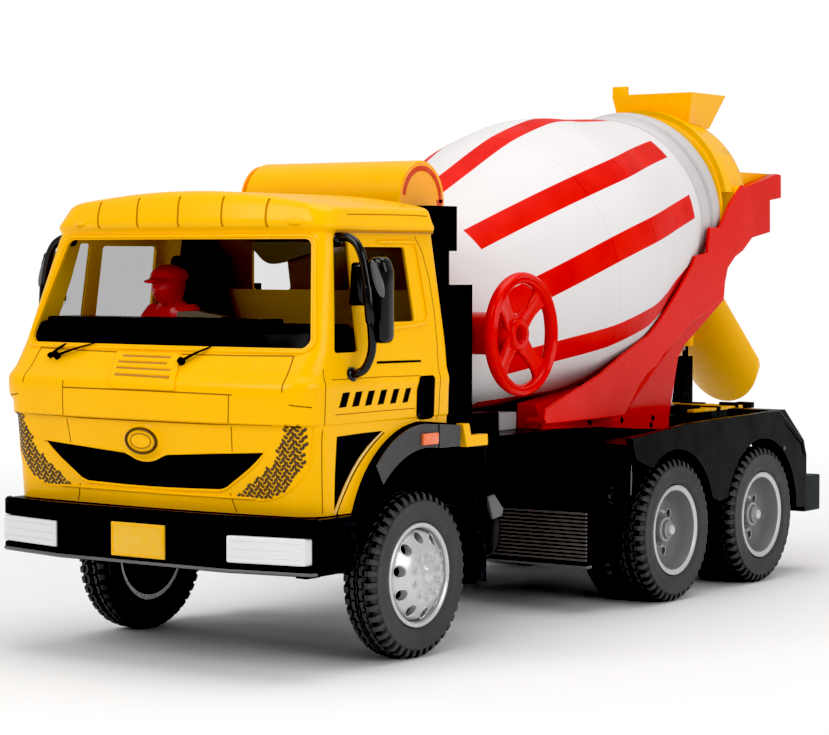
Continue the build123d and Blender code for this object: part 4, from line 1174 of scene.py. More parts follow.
def dome(name, cx, cz, rx, rz, low, high, mats, rings=7, n=48, at=on_front, power=2.0, **kw):
    """A crowned oval pad on the skin."""
    verts = []
    c, nn = at(cx, cz)
    verts.append(c + nn * high)
    for i in range(1, rings + 1):
        q = i / rings
        h = low + (high - low) * (1 - q ** power)
        for x, z in oval(cx, cz, rx * q, rz * q, n):
            p, m = at(x, z)
            verts.append(p + m * h)
    for x, z in oval(cx, cz, rx, rz, n):
        p, m = at(x, z)
        verts.append(p - m * 1.2)
    faces = [(0, 1 + (k + 1) % n, 1 + k) for k in range(n)]
    for i in range(rings):
        a, b = 1 + i * n, 1 + (i + 1) * n
        faces += [(a + k, a + (k + 1) % n, b + (k + 1) % n, b + k) for k in range(n)]
    faces.append(tuple(1 + rings * n + k for k in range(n)))
    return mesh_object(name, verts, faces, mats, sharp=50.0, **kw)


dome("badge_boss", BX, BZ, 31, 21.5, 0.2, 5.0, "yellow", power=3.2, slot="yellow_plastic")


def badge_at(x, z):
    q = min(1.0, math.hypot((x - BX) / 31, (z - BZ) / 21.5))
    p, n = on_front(x, z)
    return p + n * (0.2 + 4.8 * (1 - q ** 3.2)), n


ring = [badge_at(x, z)[0] for x, z in oval(BX, BZ + 1, 23.0, 14.4, 56)]
tube("badge_ring", ring, 3.0, "brown", closed=True, flat=0.55, slot="black_plastic")
# inner ring in the groove colour: painted shade of a fine line
ring = [badge_at(x, z)[0] for x, z in oval(BX, BZ + 1, 15.6, 8.6, 48)]
tube("badge_inner_ring", ring, 0.9, "groove", closed=True, flat=0.8, slot="yellow_plastic")

# vent panel with louvres
VENT = [(-58, 366.2), (37, 366.0), (40, 363.5), (52.4, 328.0), (51, 325.0), (-44, 325.4), (-47, 328.0), (-60, 363.0)]
vent = patch("vent_panel", VENT, on_front, "yellow", raise_=3.0, sink=1.0, res=6.0, sharp=40, slot="yellow_plastic")
bevel(vent, 1.0, 2)
slots, ribs = [], []
for a, b in [((-46, 360.8), (28, 360.4)), ((-49.5, 353.9), (26.5, 353.4)), ((-48, 347.0), (37, 345.8)), ((-44, 339.2), (41, 338.0))]:
    slots.append(patch(None, band([a, b], 1.7), on_front, None, raise_=3.2, sink=0.2, res=6.0))
    path = [on_front(p.x, p.y + 2.0) for p in resample([a, b], 6.0)]
    ribs.append(sweep_mesh([p + n * 3.1 for p, n in path], 1.0, 8))
# slot floors in the groove colour: painted shade in the slots
v, f = join(slots)
mesh_object("vent_slots", v, f, "groove", sharp=50, slot="yellow_plastic")
v, f = join(ribs)
mesh_object("vent_louvres", v, f, "yellow", sharp=50, slot="yellow_plastic")

# bead round the windscreen opening
bead = rounded([(-226.5, 371.0), (217.5, 371.0), (190.6, 503.8), (-192.6, 503.8)], 13)
bead = resample(bead + [bead[0]], 9.0)[:-1]
cyl = [on_front(p.x, p.y) for p in bead]
tube("windscreen_bead", [p + n * 0.0 for p, n in cyl], 2.4, "yellow", closed=True, sides=10, slot="yellow_plastic")
# marker lamps on the visor
for s in (1, -1):
    dome("visor_marker_" + ("left" if s > 0 else "right"), s * 166, 519.5, 11, 4.4, 0.3, 3.6, "yellow", rings=5, n=28, slot="yellow_plastic")

# netted corner panels: rows of small dark scales, staggered
NET = [(199, 292), (222, 292), (219, 262), (215, 239), (203, 224), (190, 213), (175, 207), (158, 204.4), (134, 204.8), (122, 206.4), (132, 215), (145, 225.5), (158, 234), (171, 244), (180, 255), (187, 268), (193, 281)]


def in_poly(q, poly):
    inside = False
    j = len(poly) - 1
    for i in range(len(poly)):
        a, b = poly[i], poly[j]
        if (a[1] > q[1]) != (b[1] > q[1]) and q[0] < (b[0] - a[0]) * (q[1] - a[1]) / (b[1] - a[1]) + a[0]:
            inside = not inside
        j = i
    return inside


def on_corner(s):
    """Skin point by (arc position across the corner, z): x past the corner runs round it."""
    def at(x, z):
        if abs(x) <= 205:
            return on_front(x, z)
        p = pt(s * abs(x), 0, z)
        o_ = pt(s * (abs(x) + 60), -300, z)
        d = (pt(s * (abs(x) - 36), -150, z) - o_).normalized()
        hit, nrm, _, _ = cab_bvh.ray_cast(o_, d)
        if hit is None:
            return on_front(x, z)
        if nrm.dot(d) > 0:
            nrm = -nrm
        return Vector(grid(hit)), nrm
    return at


for s in (1, -1):
    marks = []
    row = 0
    z = 207.0
    while z < 291:
        x = 118 + (0 if row % 2 else 3.1)
        col = 0
        while x < 223:
            if in_poly((x, z), NET) and in_poly((x + 2.4, z), NET) and in_poly((x - 2.4, z + 1.6), NET):
                a = 0.55 if (row + col) % 2 else -0.45
                ca, sa = math.cos(a), math.sin(a)
                shape = [(-3.7, -0.7), (-2.2, -2.3), (0.5, -2.8), (2.9, -2.0), (4.0, 0.3), (2.4, 1.3), (0.2, 0.8), (-2.0, 1.5)]
                loop = [(s * (x + (7 if s < 0 else 0) + 0.82 * (px * ca - pz * sa)), z + (px * sa + pz * ca) * 0.98) for px, pz in shape]
                top = []
                low = []
                for u, w in loop:
                    p, n = on_front(u, w)
                    top.append(p + n * 0.35)
                    low.append(p - n * 0.6)
                k = len(top)
                marks.append((top + low, [tuple(range(k)), tuple(range(2 * k - 1, k - 1, -1))] + [(i, k + i, k + (i + 1) % k, (i + 1) % k) for i in range(k)]))
            x += 6.2
            col += 1
        z += 4.1
        row += 1
    v, f = join(marks)
    side_name = "left" if s > 0 else "right"
    mesh_object("corner_net_" + side_name, v, f, "brown", sharp=50, slot="yellow_plastic")
    edge = [on_front(s * (x + (7 if s < 0 else 0)), z) for x, z in [(p.x, p.y) for p in resample([(225, 293.5), (222, 262), (217.5, 238), (205, 221.5), (191, 210.6), (175, 204.4), (158, 201.8), (134, 202.2), (119, 204.4)], 6.0)]]
    tube("corner_net_edge_" + side_name, [p for p, n in edge], 0.9, "yellow", slot="yellow_plastic")

# wipers: pivot and tapered arm
for name, a, b, w0, w1 in [("right", (-157, 358.2), (-101, 374.5), 6.0, 2.4), ("left", (46, 356.6), (80, 374.0), 6.4, 3.0)]:
    (pa, na), (pb, nb) = on_front(*a), on_front(*b)
    pa, pb = pa + na * 3.4, pb + nb * 3.2
    path = [pa.lerp(pb, k / 8) + na * (1.2 * math.sin(math.pi * k / 8)) for k in range(9)]
    tube("wiper_arm_" + name, path, [w0 * 0.5 + (w1 - w0) * 0.5 * k / 8 for k in range(9)], "black", sides=8, flat=0.6, slot="black_plastic")
    stud = [on_front(*a)[0] - na * 1.0, on_front(*a)[0] + na * 6.0, on_front(*a)[0] + na * 6.8]
    tube("wiper_pivot_" + name, stud, [4.2, 4.2, 2.6], "black", sides=16, slot="black_plastic")
(pa, na), (pb, nb) = on_front(-169.4, 358.9), on_front(-151, 373.0)
tube("wiper_link_right", [pa + na * 2.2, pa.lerp(pb, .5) + na * 3.2, pb + nb * 2.4], [2.0, 1.6, 1.2], "black", sides=8, slot="black_plastic")
tube("wiper_link_knob", [pa - na * 0.5, pa + na * 4.2, pa + na * 4.8], [3.4, 3.4, 2.0], "black", sides=14, slot="black_plastic")

# prints and handles on both doors
for s in (1, -1):
    at = on_side(s)
    sn = "left" if s > 0 else "right"
    bars = []
    for k in range(6):
        y0 = -157.6 + 24.9 * k
        w = 13.2 - 0.55 * k
        bars.append(patch(None, [(y0, 324.7), (y0 + w, 325.1), (y0 + w - 6.6, 308.5), (y0 - 6.8, 307.9)], at, None, raise_=0.35, sink=0.6, res=8.0))
    bars.append(patch(None, [(-86, 358.2), (3, 357.0), (3, 354.4), (-86, 355.4)], at, None, raise_=0.35, sink=0.6, res=10.0))
    tri = [(-164.5, 275.0), (-120, 276.3), (-76, 276.8), (-92, 268.6), (-106, 259.8), (-120, 249.2), (-133, 236.6), (-145, 222.0), (-156, 206.0), (-165, 191.0), (-166, 230)]
    bars.append(patch(None, tri, at, None, raise_=0.35, sink=0.6, res=9.0))
    v, f = join(bars)
    mesh_object("door_prints_" + sn, v, f, "ink", sharp=50, slot="black_plastic")
    curve = smooth_path([(-79.0, 274.6, 0), (-104, 258.8, 0), (-131, 235.6, 0), (-152, 207.6, 0), (-164.5, 186.5, 0)], 6)
    line = band([(p.x, p.y) for p in curve], 2.5, 0.35)
    patch("door_cream_line_" + sn, line, at, "cream", raise_=0.7, sink=0.5, res=7.0, slot="yellow_plastic")
    outer = smooth_path([(-72.5, 274.8, 0), (-99, 258.2, 0), (-126.5, 234.4, 0), (-148, 206.4, 0), (-160.5, 184.8, 0)], 6)
    patch("door_outer_line_" + sn, band([(p.x, p.y) for p in outer], 1.6, 0.3), at, "ink", raise_=0.45, sink=0.5, res=7.0, slot="black_plastic")
    # handle: dark recess plate with a raised grip
    cap = rounded([(-10.5, 290.5), (0, 285.8), (25.5, 286.0), (25.5, 337.8), (-4.5, 338.0), (-10.5, 322)], 4.5, 4)
    h = patch("door_handle_plate_" + sn, cap, at, "ink", raise_=1.0, sink=0.8, res=6.0, slot="black_plastic")
    bevel(h, 0.5, 2)
    grip = rounded([(1, 292), (16, 292), (16, 332), (1, 332)], 5.5, 5)
    g2 = patch("door_handle_grip_" + sn, grip, at, "black", raise_=2.4, sink=0.2, res=5.0, slot="black_plastic")
    bevel(g2, 0.9, 2)
    # dark lining along the arch's edge
    arc = smooth_path([(-133, 184, 0), (-119, 208, 0), (-100, 234, 0), (-74, 259.5, 0), (-40, 276.0, 0), (0, 283.0, 0), (40, 281.0, 0)], 5)
    tube("arch_lining_" + sn, [Vector((227.2 if s > 0 else -239.4, p.x + 1.2, p.y - 0.6)) for p in arc], 1.8, "black", sides=8, slot="black_plastic")
    # raised frame round the left door's window
    frame_path = smooth_path([(-60, 496.6, 0), (-20, 497.0, 0), (14, 497.0, 0), (21, 493, 0), (23.4, 470, 0), (26.6, 420, 0), (25.4, 406, 0), (17, 400.4, 0), (-10, 397.8, 0), (-60, 395.2, 0)], 5)
    if s > 0:
        tube("door_frame_bead_" + sn, [at(p.x, p.y)[0] + Vector((s * 0.1, 0, 0)) for p in frame_path], [0.6] + [2.6] * (len(frame_path) - 2) + [0.6], "yellow", sides=8, slot="yellow_plastic")
    # rain gutter under the roof, in the groove colour: painted shadow under the roof's lip
    gut = [on_side(s)(y, 511.5)[0] for y in range(-138, 58, 8)]
    tube("gutter_" + sn, [p + Vector((s * 0.2, 0, -3.2)) for p in gut], 1.2, "groove", sides=6, slot="yellow_plastic")

# bumper, lamps, plate
bump = rework("front_bumper", "black", 2.0, 3, slot="black_plastic")
front_edge = [(-238.6, -213), (-235.6, -220.4), (-128, -242.0), (0, -242.4), (128, -242.0), (235.6, -220.4), (238.6, -213)]
lip = [Vector((x, y - 0.8, 123.0)) for x, y in [(p.x, p.y) for p in resample(front_edge, 14.0)]]
tube("bumper_lower_strip", lip, 2.1, "grey", sides=10, slot="grey_plastic")
shelf = [Vector((x * 0.995, y + 2.4, 183.2)) for x, y in [(p.x, p.y) for p in resample(front_edge, 14.0)]]
tube("bumper_top_ledge", shelf, 2.4, "black", sides=10, slot="black_plastic")
lamps = rework("headlights", "lamp", 2.6, 4, slot="lamp_white")
for vtx in lamps.data.vertices:
    gx, gy, gz = grid(vtx.co)
    if gx > 205:
        vtx.co = Vector(pt(gx - 7.5, gy - 1.5, gz))
rework("number_plate", "plate" if "plate" in M else "yellow", 0.9, 2, slot="yellow_plastic")
border = rounded([(-38.5, 131.5), (38.5, 131.5), (38.5, 166.5), (-38.5, 166.5)], 2.5, 3)
tube("plate_border", [Vector((x, -246.3, z)) for x, z in border], 0.8, "yellow", sides=6, closed=True, slot="yellow_plastic")
for s in (1, -1):
    for k, z in enumerate((140, 149, 158)):
        a, b = Vector((s * 136, -243.4, z)), Vector((224 if s > 0 else -231, -226.3 if s > 0 else -224.9, z))
        tube("lamp_line_%s_%d" % ("left" if s > 0 else "right", k), [a.lerp(b, i / 8) for i in range(9)], 0.5, "lamp", sides=6, slot="lamp_white")

# mirrors
for s in (1, -1):
    sn = "left" if s > 0 else "right"
    w_ = 0 if s > 0 else 9
    arm = smooth_path([(s * (229 + w_), -137, 345), (s * (238 + w_), -136, 346.5), (s * (247 + w_), -133, 353), (s * (255 + w_ * 0.5), -132, 372), (s * 255.5, -133, 396), (s * 253, -133.5, 417), (s * 251.2, -134, 443.8), (s * 247, -134, 465), (s * 242, -134, 482.4), (s * 233, -133, 495.8), (s * 220, -132, 502.2), (s * 207, -131, 501.5)], 6)
    v1 = sweep_mesh(arm, 5.0, 16)
    foot = sweep_mesh([(s * (228.6 + w_), -137, 344), (s * (231.6 + w_), -137, 344), (s * (234 + w_), -137, 344)], [10.0, 9.4, 6.0], 20)
    top = sweep_mesh([(s * 205.4, -131, 500.5), (s * 208.6, -131, 500.5), (s * 211.4, -131, 500.5)], [8.4, 8.0, 5.6], 20)
    clip = sweep_mesh([(s * 254.6, -133, 404), (s * 254.4, -133, 407), (s * 251.2, -133.4, 443), (s * 250.9, -133.4, 446)], [5.6, 6.4, 6.4, 5.6], 14)
    v, f = join([v1, foot, top, clip])
    mesh_object("mirror_arm_" + sn, v, f, "black_gloss", sharp=45, replaces=("mirror_" + sn,), slot="black_plastic")
    for nm, (x0, x1, z0, z1, y0, y1, lean) in {"main": (243.5, 272.0 if s > 0 else 265, 380.5 if s > 0 else 438, 479.5 if s > 0 else 487, -127, -110, 0), "small": (215.5, 240.5, 423, 473.5, -124.5, -113.5, 3.0) if s > 0 else (231, 244, 423, 470, -124.5, -113.5, 1.0)}.items():
        rows = []
        for y, inset in [(y0 - 1.6, 5.0), (y0 - 0.6, 2.6), (y0 + 1.6, 0.9), (y0 + 4.4, 0.1), (y1 - 3.0, 0.0), (y1 - 0.8, 1.0), (y1, 2.6)]:
            cut = 8.0 if nm == "main" else 6.0
            loop = rounded([(s * (x0 + inset), z0 + inset), (s * (x1 - inset), z0 + inset), (s * (x1 - inset), z1 - 2.0 * cut), (s * (x1 - inset - 0.75 * cut), z1 - inset), (s * (x0 + inset + lean), z1 - inset)], 9.0 if nm == "main" else 3.4, 6)
            rows.append([(x, y, z) for x, z in loop])
        m = len(rows[0])
        vv = [p for r in rows for p in r]
        ff = [tuple(range(m))[::-1], tuple((len(rows) - 1) * m + i for i in range(m))]
        for i in range(len(rows) - 1):
            ff += [(i * m + j, i * m + (j + 1) % m, (i + 1) * m + (j + 1) % m, (i + 1) * m + j) for j in range(m)]
        mesh_object("mirror_housing_%s_%s" % (nm, sn), vv, ff, "black_gloss", sharp=40, slot="black_plastic")
        gl = rounded([(s * (x0 + 3.4), z0 + 3.4), (s * (x1 - 3.4), z0 + 3.4), (s * (x1 - 3.4), z1 - 2.0 * cut - 2), (s * (x1 - 3.4 - 0.72 * cut), z1 - 3.4), (s * (x0 + 3.4 + lean), z1 - 3.4)], 3.8 if nm == "main" else 2.4, 4)
        prism("mirror_glass_%s_%s" % (nm, sn), gl, "y", y1 - 0.4, y1 + 0.5, "glass", soft=0.2, segments=1, slot="silver_plastic")
    # grey oval on the outer housing's front: a painted reflection on the black housing
    tilt = math.radians(-18)
    cz_ = 454.5 if s > 0 else 462
    ov = [(s * ((260.2 if s > 0 else 256) + 8.2 * math.cos(t) * math.cos(tilt) - 22.5 * math.sin(t) * math.sin(-tilt)), cz_ + 8.2 * math.cos(t) * math.sin(tilt) + 22.5 * math.sin(t) * math.cos(tilt)) for t in [2 * math.pi * k / 36 for k in range(36)]]
    vv = [(x, -128.2, z) for x, z in ov] + [(s * 260.2 + (x - s * 260.2) * 0.88, -130.0, cz_ + (z - cz_) * 0.94) for x, z in ov] + [(s * 260.2, -130.6, cz_)]
    n = len(ov)
    ff = [(i, (i + 1) % n, n + (i + 1) % n, n + i) for i in range(n)] + [(n + i, n + (i + 1) % n, 2 * n) for i in range(n)] + [tuple(range(n))]
    mesh_object("mirror_boss_" + sn, vv, ff, "grey", sharp=45, slot="grey_plastic")

# fenders: grey outer band, black inside
for sn, s in (("left", 1), ("right", -1)):
    fnode = "front_fender_" + sn
    fo = rework(fnode, "black", 0, slot="black_plastic")
    flank = max((p for p in fo.data.polygons if s * p.normal.x > 0.7 and s * grid(p.center)[0] > 236), key=lambda p: p.area)
    loop = [tuple(grid(fo.data.vertices[i].co)[1:3]) for i in flank.vertices]
    kept = []
    cut_side = lambda p: 12.4 * (p[1] - 232.8) + 19.8 * (p[0] + 97.4)
    for p, q in zip(loop, loop[1:] + loop[:1]):
        sp, sq = cut_side(p), cut_side(q)
        if sp >= 0:
            kept.append(p)
        if (sp >= 0) != (sq >= 0):
            t = sp / (sp - sq)
            kept.append((p[0] + t * (q[0] - p[0]), p[1] + t * (q[1] - p[1])))
    if sum(u[0] * w[1] - w[0] * u[1] for u, w in zip(kept, kept[1:] + kept[:1])) < 0:
        kept = kept[::-1]
    prism("fender_band_" + sn, kept, "x", s * 236.4, s * 238.7, "fender_grey", soft=0.5, segments=1, slot="grey_plastic")
    bevel(fo, 1.2, 2)
    box("fender_split_" + sn, s * 237.6, s * 239.2, 26.6, 28.2, 250.5, 281, "ink", soft=0, slot="black_plastic")
    ind = rework("turn_indicators", "orange", 1.6, 3, slot="orange_plastic") if s > 0 else None

# interior
def row_at(z):
    p, q = next((p, q) for p, q in zip(CAB, CAB[1:]) if p[0] <= z <= q[0])
    return [u + (w - u) * (z - p[0]) / (q[0] - p[0]) for u, w in zip(p, q)]


def front_loft(name, levels, y_back, mats, **kw):
    """Solid that fills the nose of the cab between levels (z, inset)."""
    rows = []
    for z, d in levels:
        L = section(*row_at(z), d=d)
        pts = [p for p in L[-8:] + L[:45] if p[1] < y_back]
        if not rows:
            n = len(pts)
        pts = [(p.x, p.y) for p in resample([(pts[0][0] - 0.6, y_back)] + [(p[0], p[1]) for p in pts] + [(pts[-1][0] + 0.6, y_back)], 9.0)]
        m = 56
        q = [Vector(pts[0])]
        total = sum((Vector(v) - Vector(u)).length for u, v in zip(pts, pts[1:]))
        at_, k, run = 0.0, 0, 0.0
        out = []
        for i in range(m):
            goal = total * i / (m - 1)
            while k < len(pts) - 2 and run + (Vector(pts[k + 1]) - Vector(pts[k])).length < goal:
                run += (Vector(pts[k + 1]) - Vector(pts[k])).length
                k += 1
            seg = Vector(pts[k + 1]) - Vector(pts[k])
            c = Vector(pts[k]) + seg * min(max((goal - run) / max(seg.length, 1e-6), 0), 1)
            out.append((c.x, c.y, z))
        rows.append(out)
    m = len(rows[0])
    verts = [p for r in rows for p in r]
    faces = [tuple(range(m))[::-1], tuple((len(rows) - 1) * m + i for i in range(m))]
    for i in range(len(rows) - 1):
        faces += [(i * m + j, i * m + (j + 1) % m, (i + 1) * m + (j + 1) % m, (i + 1) * m + j) for j in range(m)]
    return mesh_object(name, verts, faces, mats, "chassis", sharp=35, **kw)


front_loft("dashboard_moulded", [(298, 6.5), (344, 6.0), (374, 5.5), (390, 6.5), (398.5, 8), (401.5, 12)], -120, "ink", replaces=("dashboard",), slot="black_plastic")
box("dash_top_pad", -205, 122, -178, -124, 399, 406.6, "ink", soft=2.2, slot="black_plastic")
for k in range(5):
    box("dash_vent_%d" % k, -60 + 34 * k, -40 + 34 * k, -168, -160, 406.0, 407.4, "black_satin", soft=0.5, slot="black_plastic")
# seats: driver's with its headrest, and a lower bench beside it
seat_parts = [("seat_driver_cushion", (-182, -84, -58, 36, 300, 340), 9), ("seat_bench_cushion", (-52, 176, -58, 36, 300, 336), 9), ("seat_bench_back", (-52, 176, 22, 46, 330, 392), 8)]
for k, (nm, (x0, x1, y0, y1, z0, z1), r) in enumerate(seat_parts):
    box(nm, x0, x1, y0, y1, z0, z1, "black_satin", soft=r * 0.6, slot="black_plastic", **({"replaces": ("seats",)} if k == 0 else {}))
back_shape = rounded([(-182, 320), (-84, 320), (-84, 396), (-99, 436), (-104, 481), (-178, 481), (-182, 430)], 8, 5)
prism("seat_driver_back", back_shape, "y", 22, 42, "black_satin", soft=3.0, segments=3, slot="black_plastic")
prism("seat_driver_headrest", rounded([(-163, 479), (-125, 479), (-126, 516), (-161, 516)], 6, 5), "y", 24, 40, "black_satin", soft=3.0, segments=3, slot="black_plastic")
# console with its lever, flap over the rear window
box("cab_console", -88, -24, -74, -44, 299, 399, "black_satin", soft=3, slot="black_plastic")
prism("console_top", [(-92, 398), (-30, 398), (-17, 406), (-62, 413), (-90, 411.5)], "y", -68, -50, "flap", soft=0.8, slot="grey_plastic")
tube("console_lever", [Vector((-44.5, -60, 400)), Vector((-44.5, -60, 418)), Vector((-44.3, -60, 432))], [1.5, 1.0, 0.9], "dark_grey", sides=10, slot="grey_plastic")
flap = smooth_path([(-63, 492, 0), (-54, 483.5, 0), (-44, 475, 0), (-31, 470.6, 0), (-11, 472.5, 0), (10, 478, 0), (33, 484, 0), (66, 489, 0)], 5)
prism("rear_window_flap", [(p.x, p.y) for p in flap] + [(66, 499), (-63, 499)], "y", 45.0, 47.5, "flap", soft=0.6, slot="grey_plastic")
# smoked panes in the side windows and the back left one, a clearer one at the back right
def pane(name, outline, axis, at, mat):
    n = len(outline)
    if axis == "x":
        verts = [at(p[0], p[1]) for p in outline]
    else:
        verts = [(p[0], at, p[1]) for p in outline]
    c = tuple(sum(v[i] for v in verts) / n for i in range(3))
    ring = [tuple(c[i] + (v[i] - c[i]) * 0.5 for i in range(3)) for v in verts]
    vv = verts + ring + [c]
    ff = [(i, (i + 1) % n, n + (i + 1) % n, n + i) for i in range(n)] + [(n + i, n + (i + 1) % n, 2 * n) for i in range(n)]
    o = mesh_object(name, vv, ff, mat, "chassis", sharp=60, slot="pale_plastic")
    s_ = o.modifiers.new("thick", "SOLIDIFY")
    s_.thickness = 0.8 * G
    s_.offset = 0.0
    bake(o)
    return o


def grow(outline, d):
    cx = sum(p[0] for p in outline) / len(outline)
    cz = sum(p[1] for p in outline) / len(outline)
    return [(cx + (x - cx) * (1 + d / max(abs(x - cx), 20)) if abs(x - cx) > 1 else x, cz + (z - cz) * (1 + d / max(abs(z - cz), 20))) for x, z in outline]


for nm, outline, s in (("door_left", DOOR_WIN, 1), ("quarter_left", QUARTER, 1), ("door_right", DOOR_WIN_R, -1), ("quarter_right", QUARTER_R, -1)):
    wall_at = on_side(s)
    pane("pane_" + nm, grow(outline, 0.6), "x", lambda y, z, f=wall_at, s=s: tuple(f(min(max(y, -160), 52), min(z, 500))[0] + Vector((-s * 2.6, 0, 0)) + Vector((0, y - min(max(y, -160), 52), z - min(z, 500)))), "pane")
pane("pane_rear_right", rounded([(-70, 438), (-8, 438), (-15.5, 492), (-70, 492)], 4), "y", 57.4, "pane_light")
pane("pane_rear_left", rounded([(33, 438), (78, 438), (78, 492), (33, 492)], 4), "y", 57.4, "pane")
# closed back of the bumper under the cab
box("bumper_backing", -198, 198, -203, -150, 148, 203, "ink", soft=0, slot="black_plastic")
rework("cab_floor", "black_satin", 1.0, 1, slot="black_plastic")


def figure():
    """A plain moulded driver with a cap: rounded forms fused into one skin."""
    bm = bmesh.new()

    def blob(c, r, rot=None):
        m = Matrix.Translation(pt(*c)) @ (rot or Matrix.Identity(4)) @ Matrix.Diagonal((r[0] * G, r[1] * G, r[2] * G, 1))
        bmesh.ops.create_uvsphere(bm, u_segments=24, v_segments=16, radius=1.0, matrix=m)

    X = -131.0
    blob((X, -20, 360), (27, 19, 42))
    blob((X - 2, -23, 401), (34, 18, 26))
    blob((X - 1, -27, 416), (15, 12, 15))
    blob((X, -36, 441), (21, 23, 23))
    blob((X, -58, 437), (3.4, 4.0, 4.4))
    blob((X, -34, 455), (24, 25.5, 15))
    for q in range(5):
        blob((X, -52 - 4 * q, 451 - 0.6 * q), (19 - 1.6 * q, 9, 2.6))
    for s in (1, -1):
        for k in range(8):
            t = k / 7
            blob((X - 3 + s * (32 + 3 * t), -24 - 22 * t, 409 - 20 * t), (11.5 - 2 * t, 11 - 2 * t, 12 - 2 * t))
            blob((X - 5 + s * (34 - 12 * t), -46 - 44 * t, 384 + 8 * t), (8.6 - 1.6 * t, 9, 8.6 - 1.6 * t))
            blob((X + s * (14 + 2 * t), -30 - 58 * t, 334 - 2 * t), (13 - t, 11, 11.5 - t))
            blob((X + s * 16, -90 - 4 * t, 330 - 26 * t), (9.5, 9, 9))
    me = bpy.data.meshes.new("driver_moulded")
    bm.to_mesh(me)
    bm.free()
    o = bpy.data.objects.new("driver_moulded", me)
    scene.collection.objects.link(o)
    r = o.modifiers.new("fuse", "REMESH")
    r.mode = "VOXEL"
    r.voxel_size = 0.00042
    c = o.modifiers.new("soften", "CORRECTIVE_SMOOTH" if False else "SMOOTH")
    c.iterations = 4
    c.factor = 0.5
    bake(o)
    dress(o, "red_figure", "chassis", sharp=None, replaces=("driver_figure",), slot="red_plastic")
    for p in o.data.polygons:
        p.use_smooth = True
    return o


figure()
# steering wheel
sc, sn_ = Vector((-136, -98, 388)), Vector((0, 0.5, 0.87)).normalized()
su = Vector((1, 0, 0))
sw = sn_.cross(su)
rim_path = [sc + sn_ * 2 + (su * math.cos(a) + sw * math.sin(a)) * 27.4 for a in [2 * math.pi * k / 40 for k in range(40)]]
parts = [sweep_mesh(rim_path, 2.6, 10, closed=True)]
for a in (0.0, math.pi, -math.pi / 2):
    d = su * math.cos(a) + sw * math.sin(a)
    parts.append(sweep_mesh([sc + sn_ * 0.5 + d * 3, sc + sn_ * 1.0 + d * 14, sc + sn_ * 2 + d * 26], [3.4, 2.4, 2.0], 8, flat=0.7, up=tuple(sn_)))
parts.append(sweep_mesh([sc - sn_ * 9, sc - sn_ * 1, sc + sn_ * 2.4, sc + sn_ * 3.4], [4, 7, 7, 4.6], 18))
v, f = join(parts)
mesh_object("steering_wheel_moulded", v, f, "black", sharp=50, replaces=("steering_wheel",), slot="black_plastic")

# ------------------------------------------------------------------ tank behind the cab roof
TY, TZ, TR = 151.0, 551.0, 50.0


def about_tank(r, x, a):
    return (x, TY + r * math.cos(a), TZ + r * math.sin(a))


tank_line = [(0.05, -127), (41, -127), (43.6, -125.6), (50, -117.0), (50, 125.6), (48.6, 127.4), (46.5, 127.2), (44.5, 125.4), (0.05, 125.4)]
v, f = turned_mesh(tank_line, about_tank, 96)
mesh_object("water_tank_shell", v, f, "yellow", sharp=30, replaces=("water_tank",), slot="yellow_plastic")


def disc_sector(r0, r1, a0, a1, x, thick, n=24):
    loop = [(r1, a0 + (a1 - a0) * k / n) for k in range(n + 1)] + [(r0, a1 - (a1 - a0) * k / n) for k in range(n + 1)]
    top = [(x + thick, TY + r * math.cos(a), TZ + r * math.sin(a)) for r, a in loop]
    low = [(x - 0.6 * (1 if thick > 0 else -1), TY + r * math.cos(a), TZ + r * math.sin(a)) for r, a in loop]
    m = len(loop)
    return top + low, [tuple(range(m)), tuple(range(2 * m - 1, m - 1, -1))] + [(i, m + i, m + (i + 1) % m, (i + 1) % m) for i in range(m)]


for s in (1, -1):
    sn = "left" if s > 0 else "right"
    v, f = disc_sector(0.5, 47.6, 0.0, 2 * math.pi - 0.001, s * 125.4, s * 2.2, 56)
    mesh_object("tank_end_patch_" + sn, v, f, "tank_patch", sharp=40, slot="orange_plastic")
    p1 = disc_sector(36.8, 43.4, math.radians(-4), math.radians(171), s * 127.4, s * 0.7, 36)
    head = [(31.5, math.radians(2)), (48.0, math.radians(2)), (39.5, math.radians(-24))]
    top = [(s * 128.1, TY + r * math.cos(a), TZ + r * math.sin(a)) for r, a in head]
    low = [(s * 127.0, TY + r * math.cos(a), TZ + r * math.sin(a)) for r, a in head]
    p2 = (top + low, [(0, 1, 2), (5, 4, 3), (0, 3, 4, 1), (1, 4, 5, 2), (2, 5, 3, 0)])
    v, f = join([p1, p2])
    mesh_object("tank_turn_arrow_" + sn, v, f, "arrow", sharp=40, slot="red_plastic")
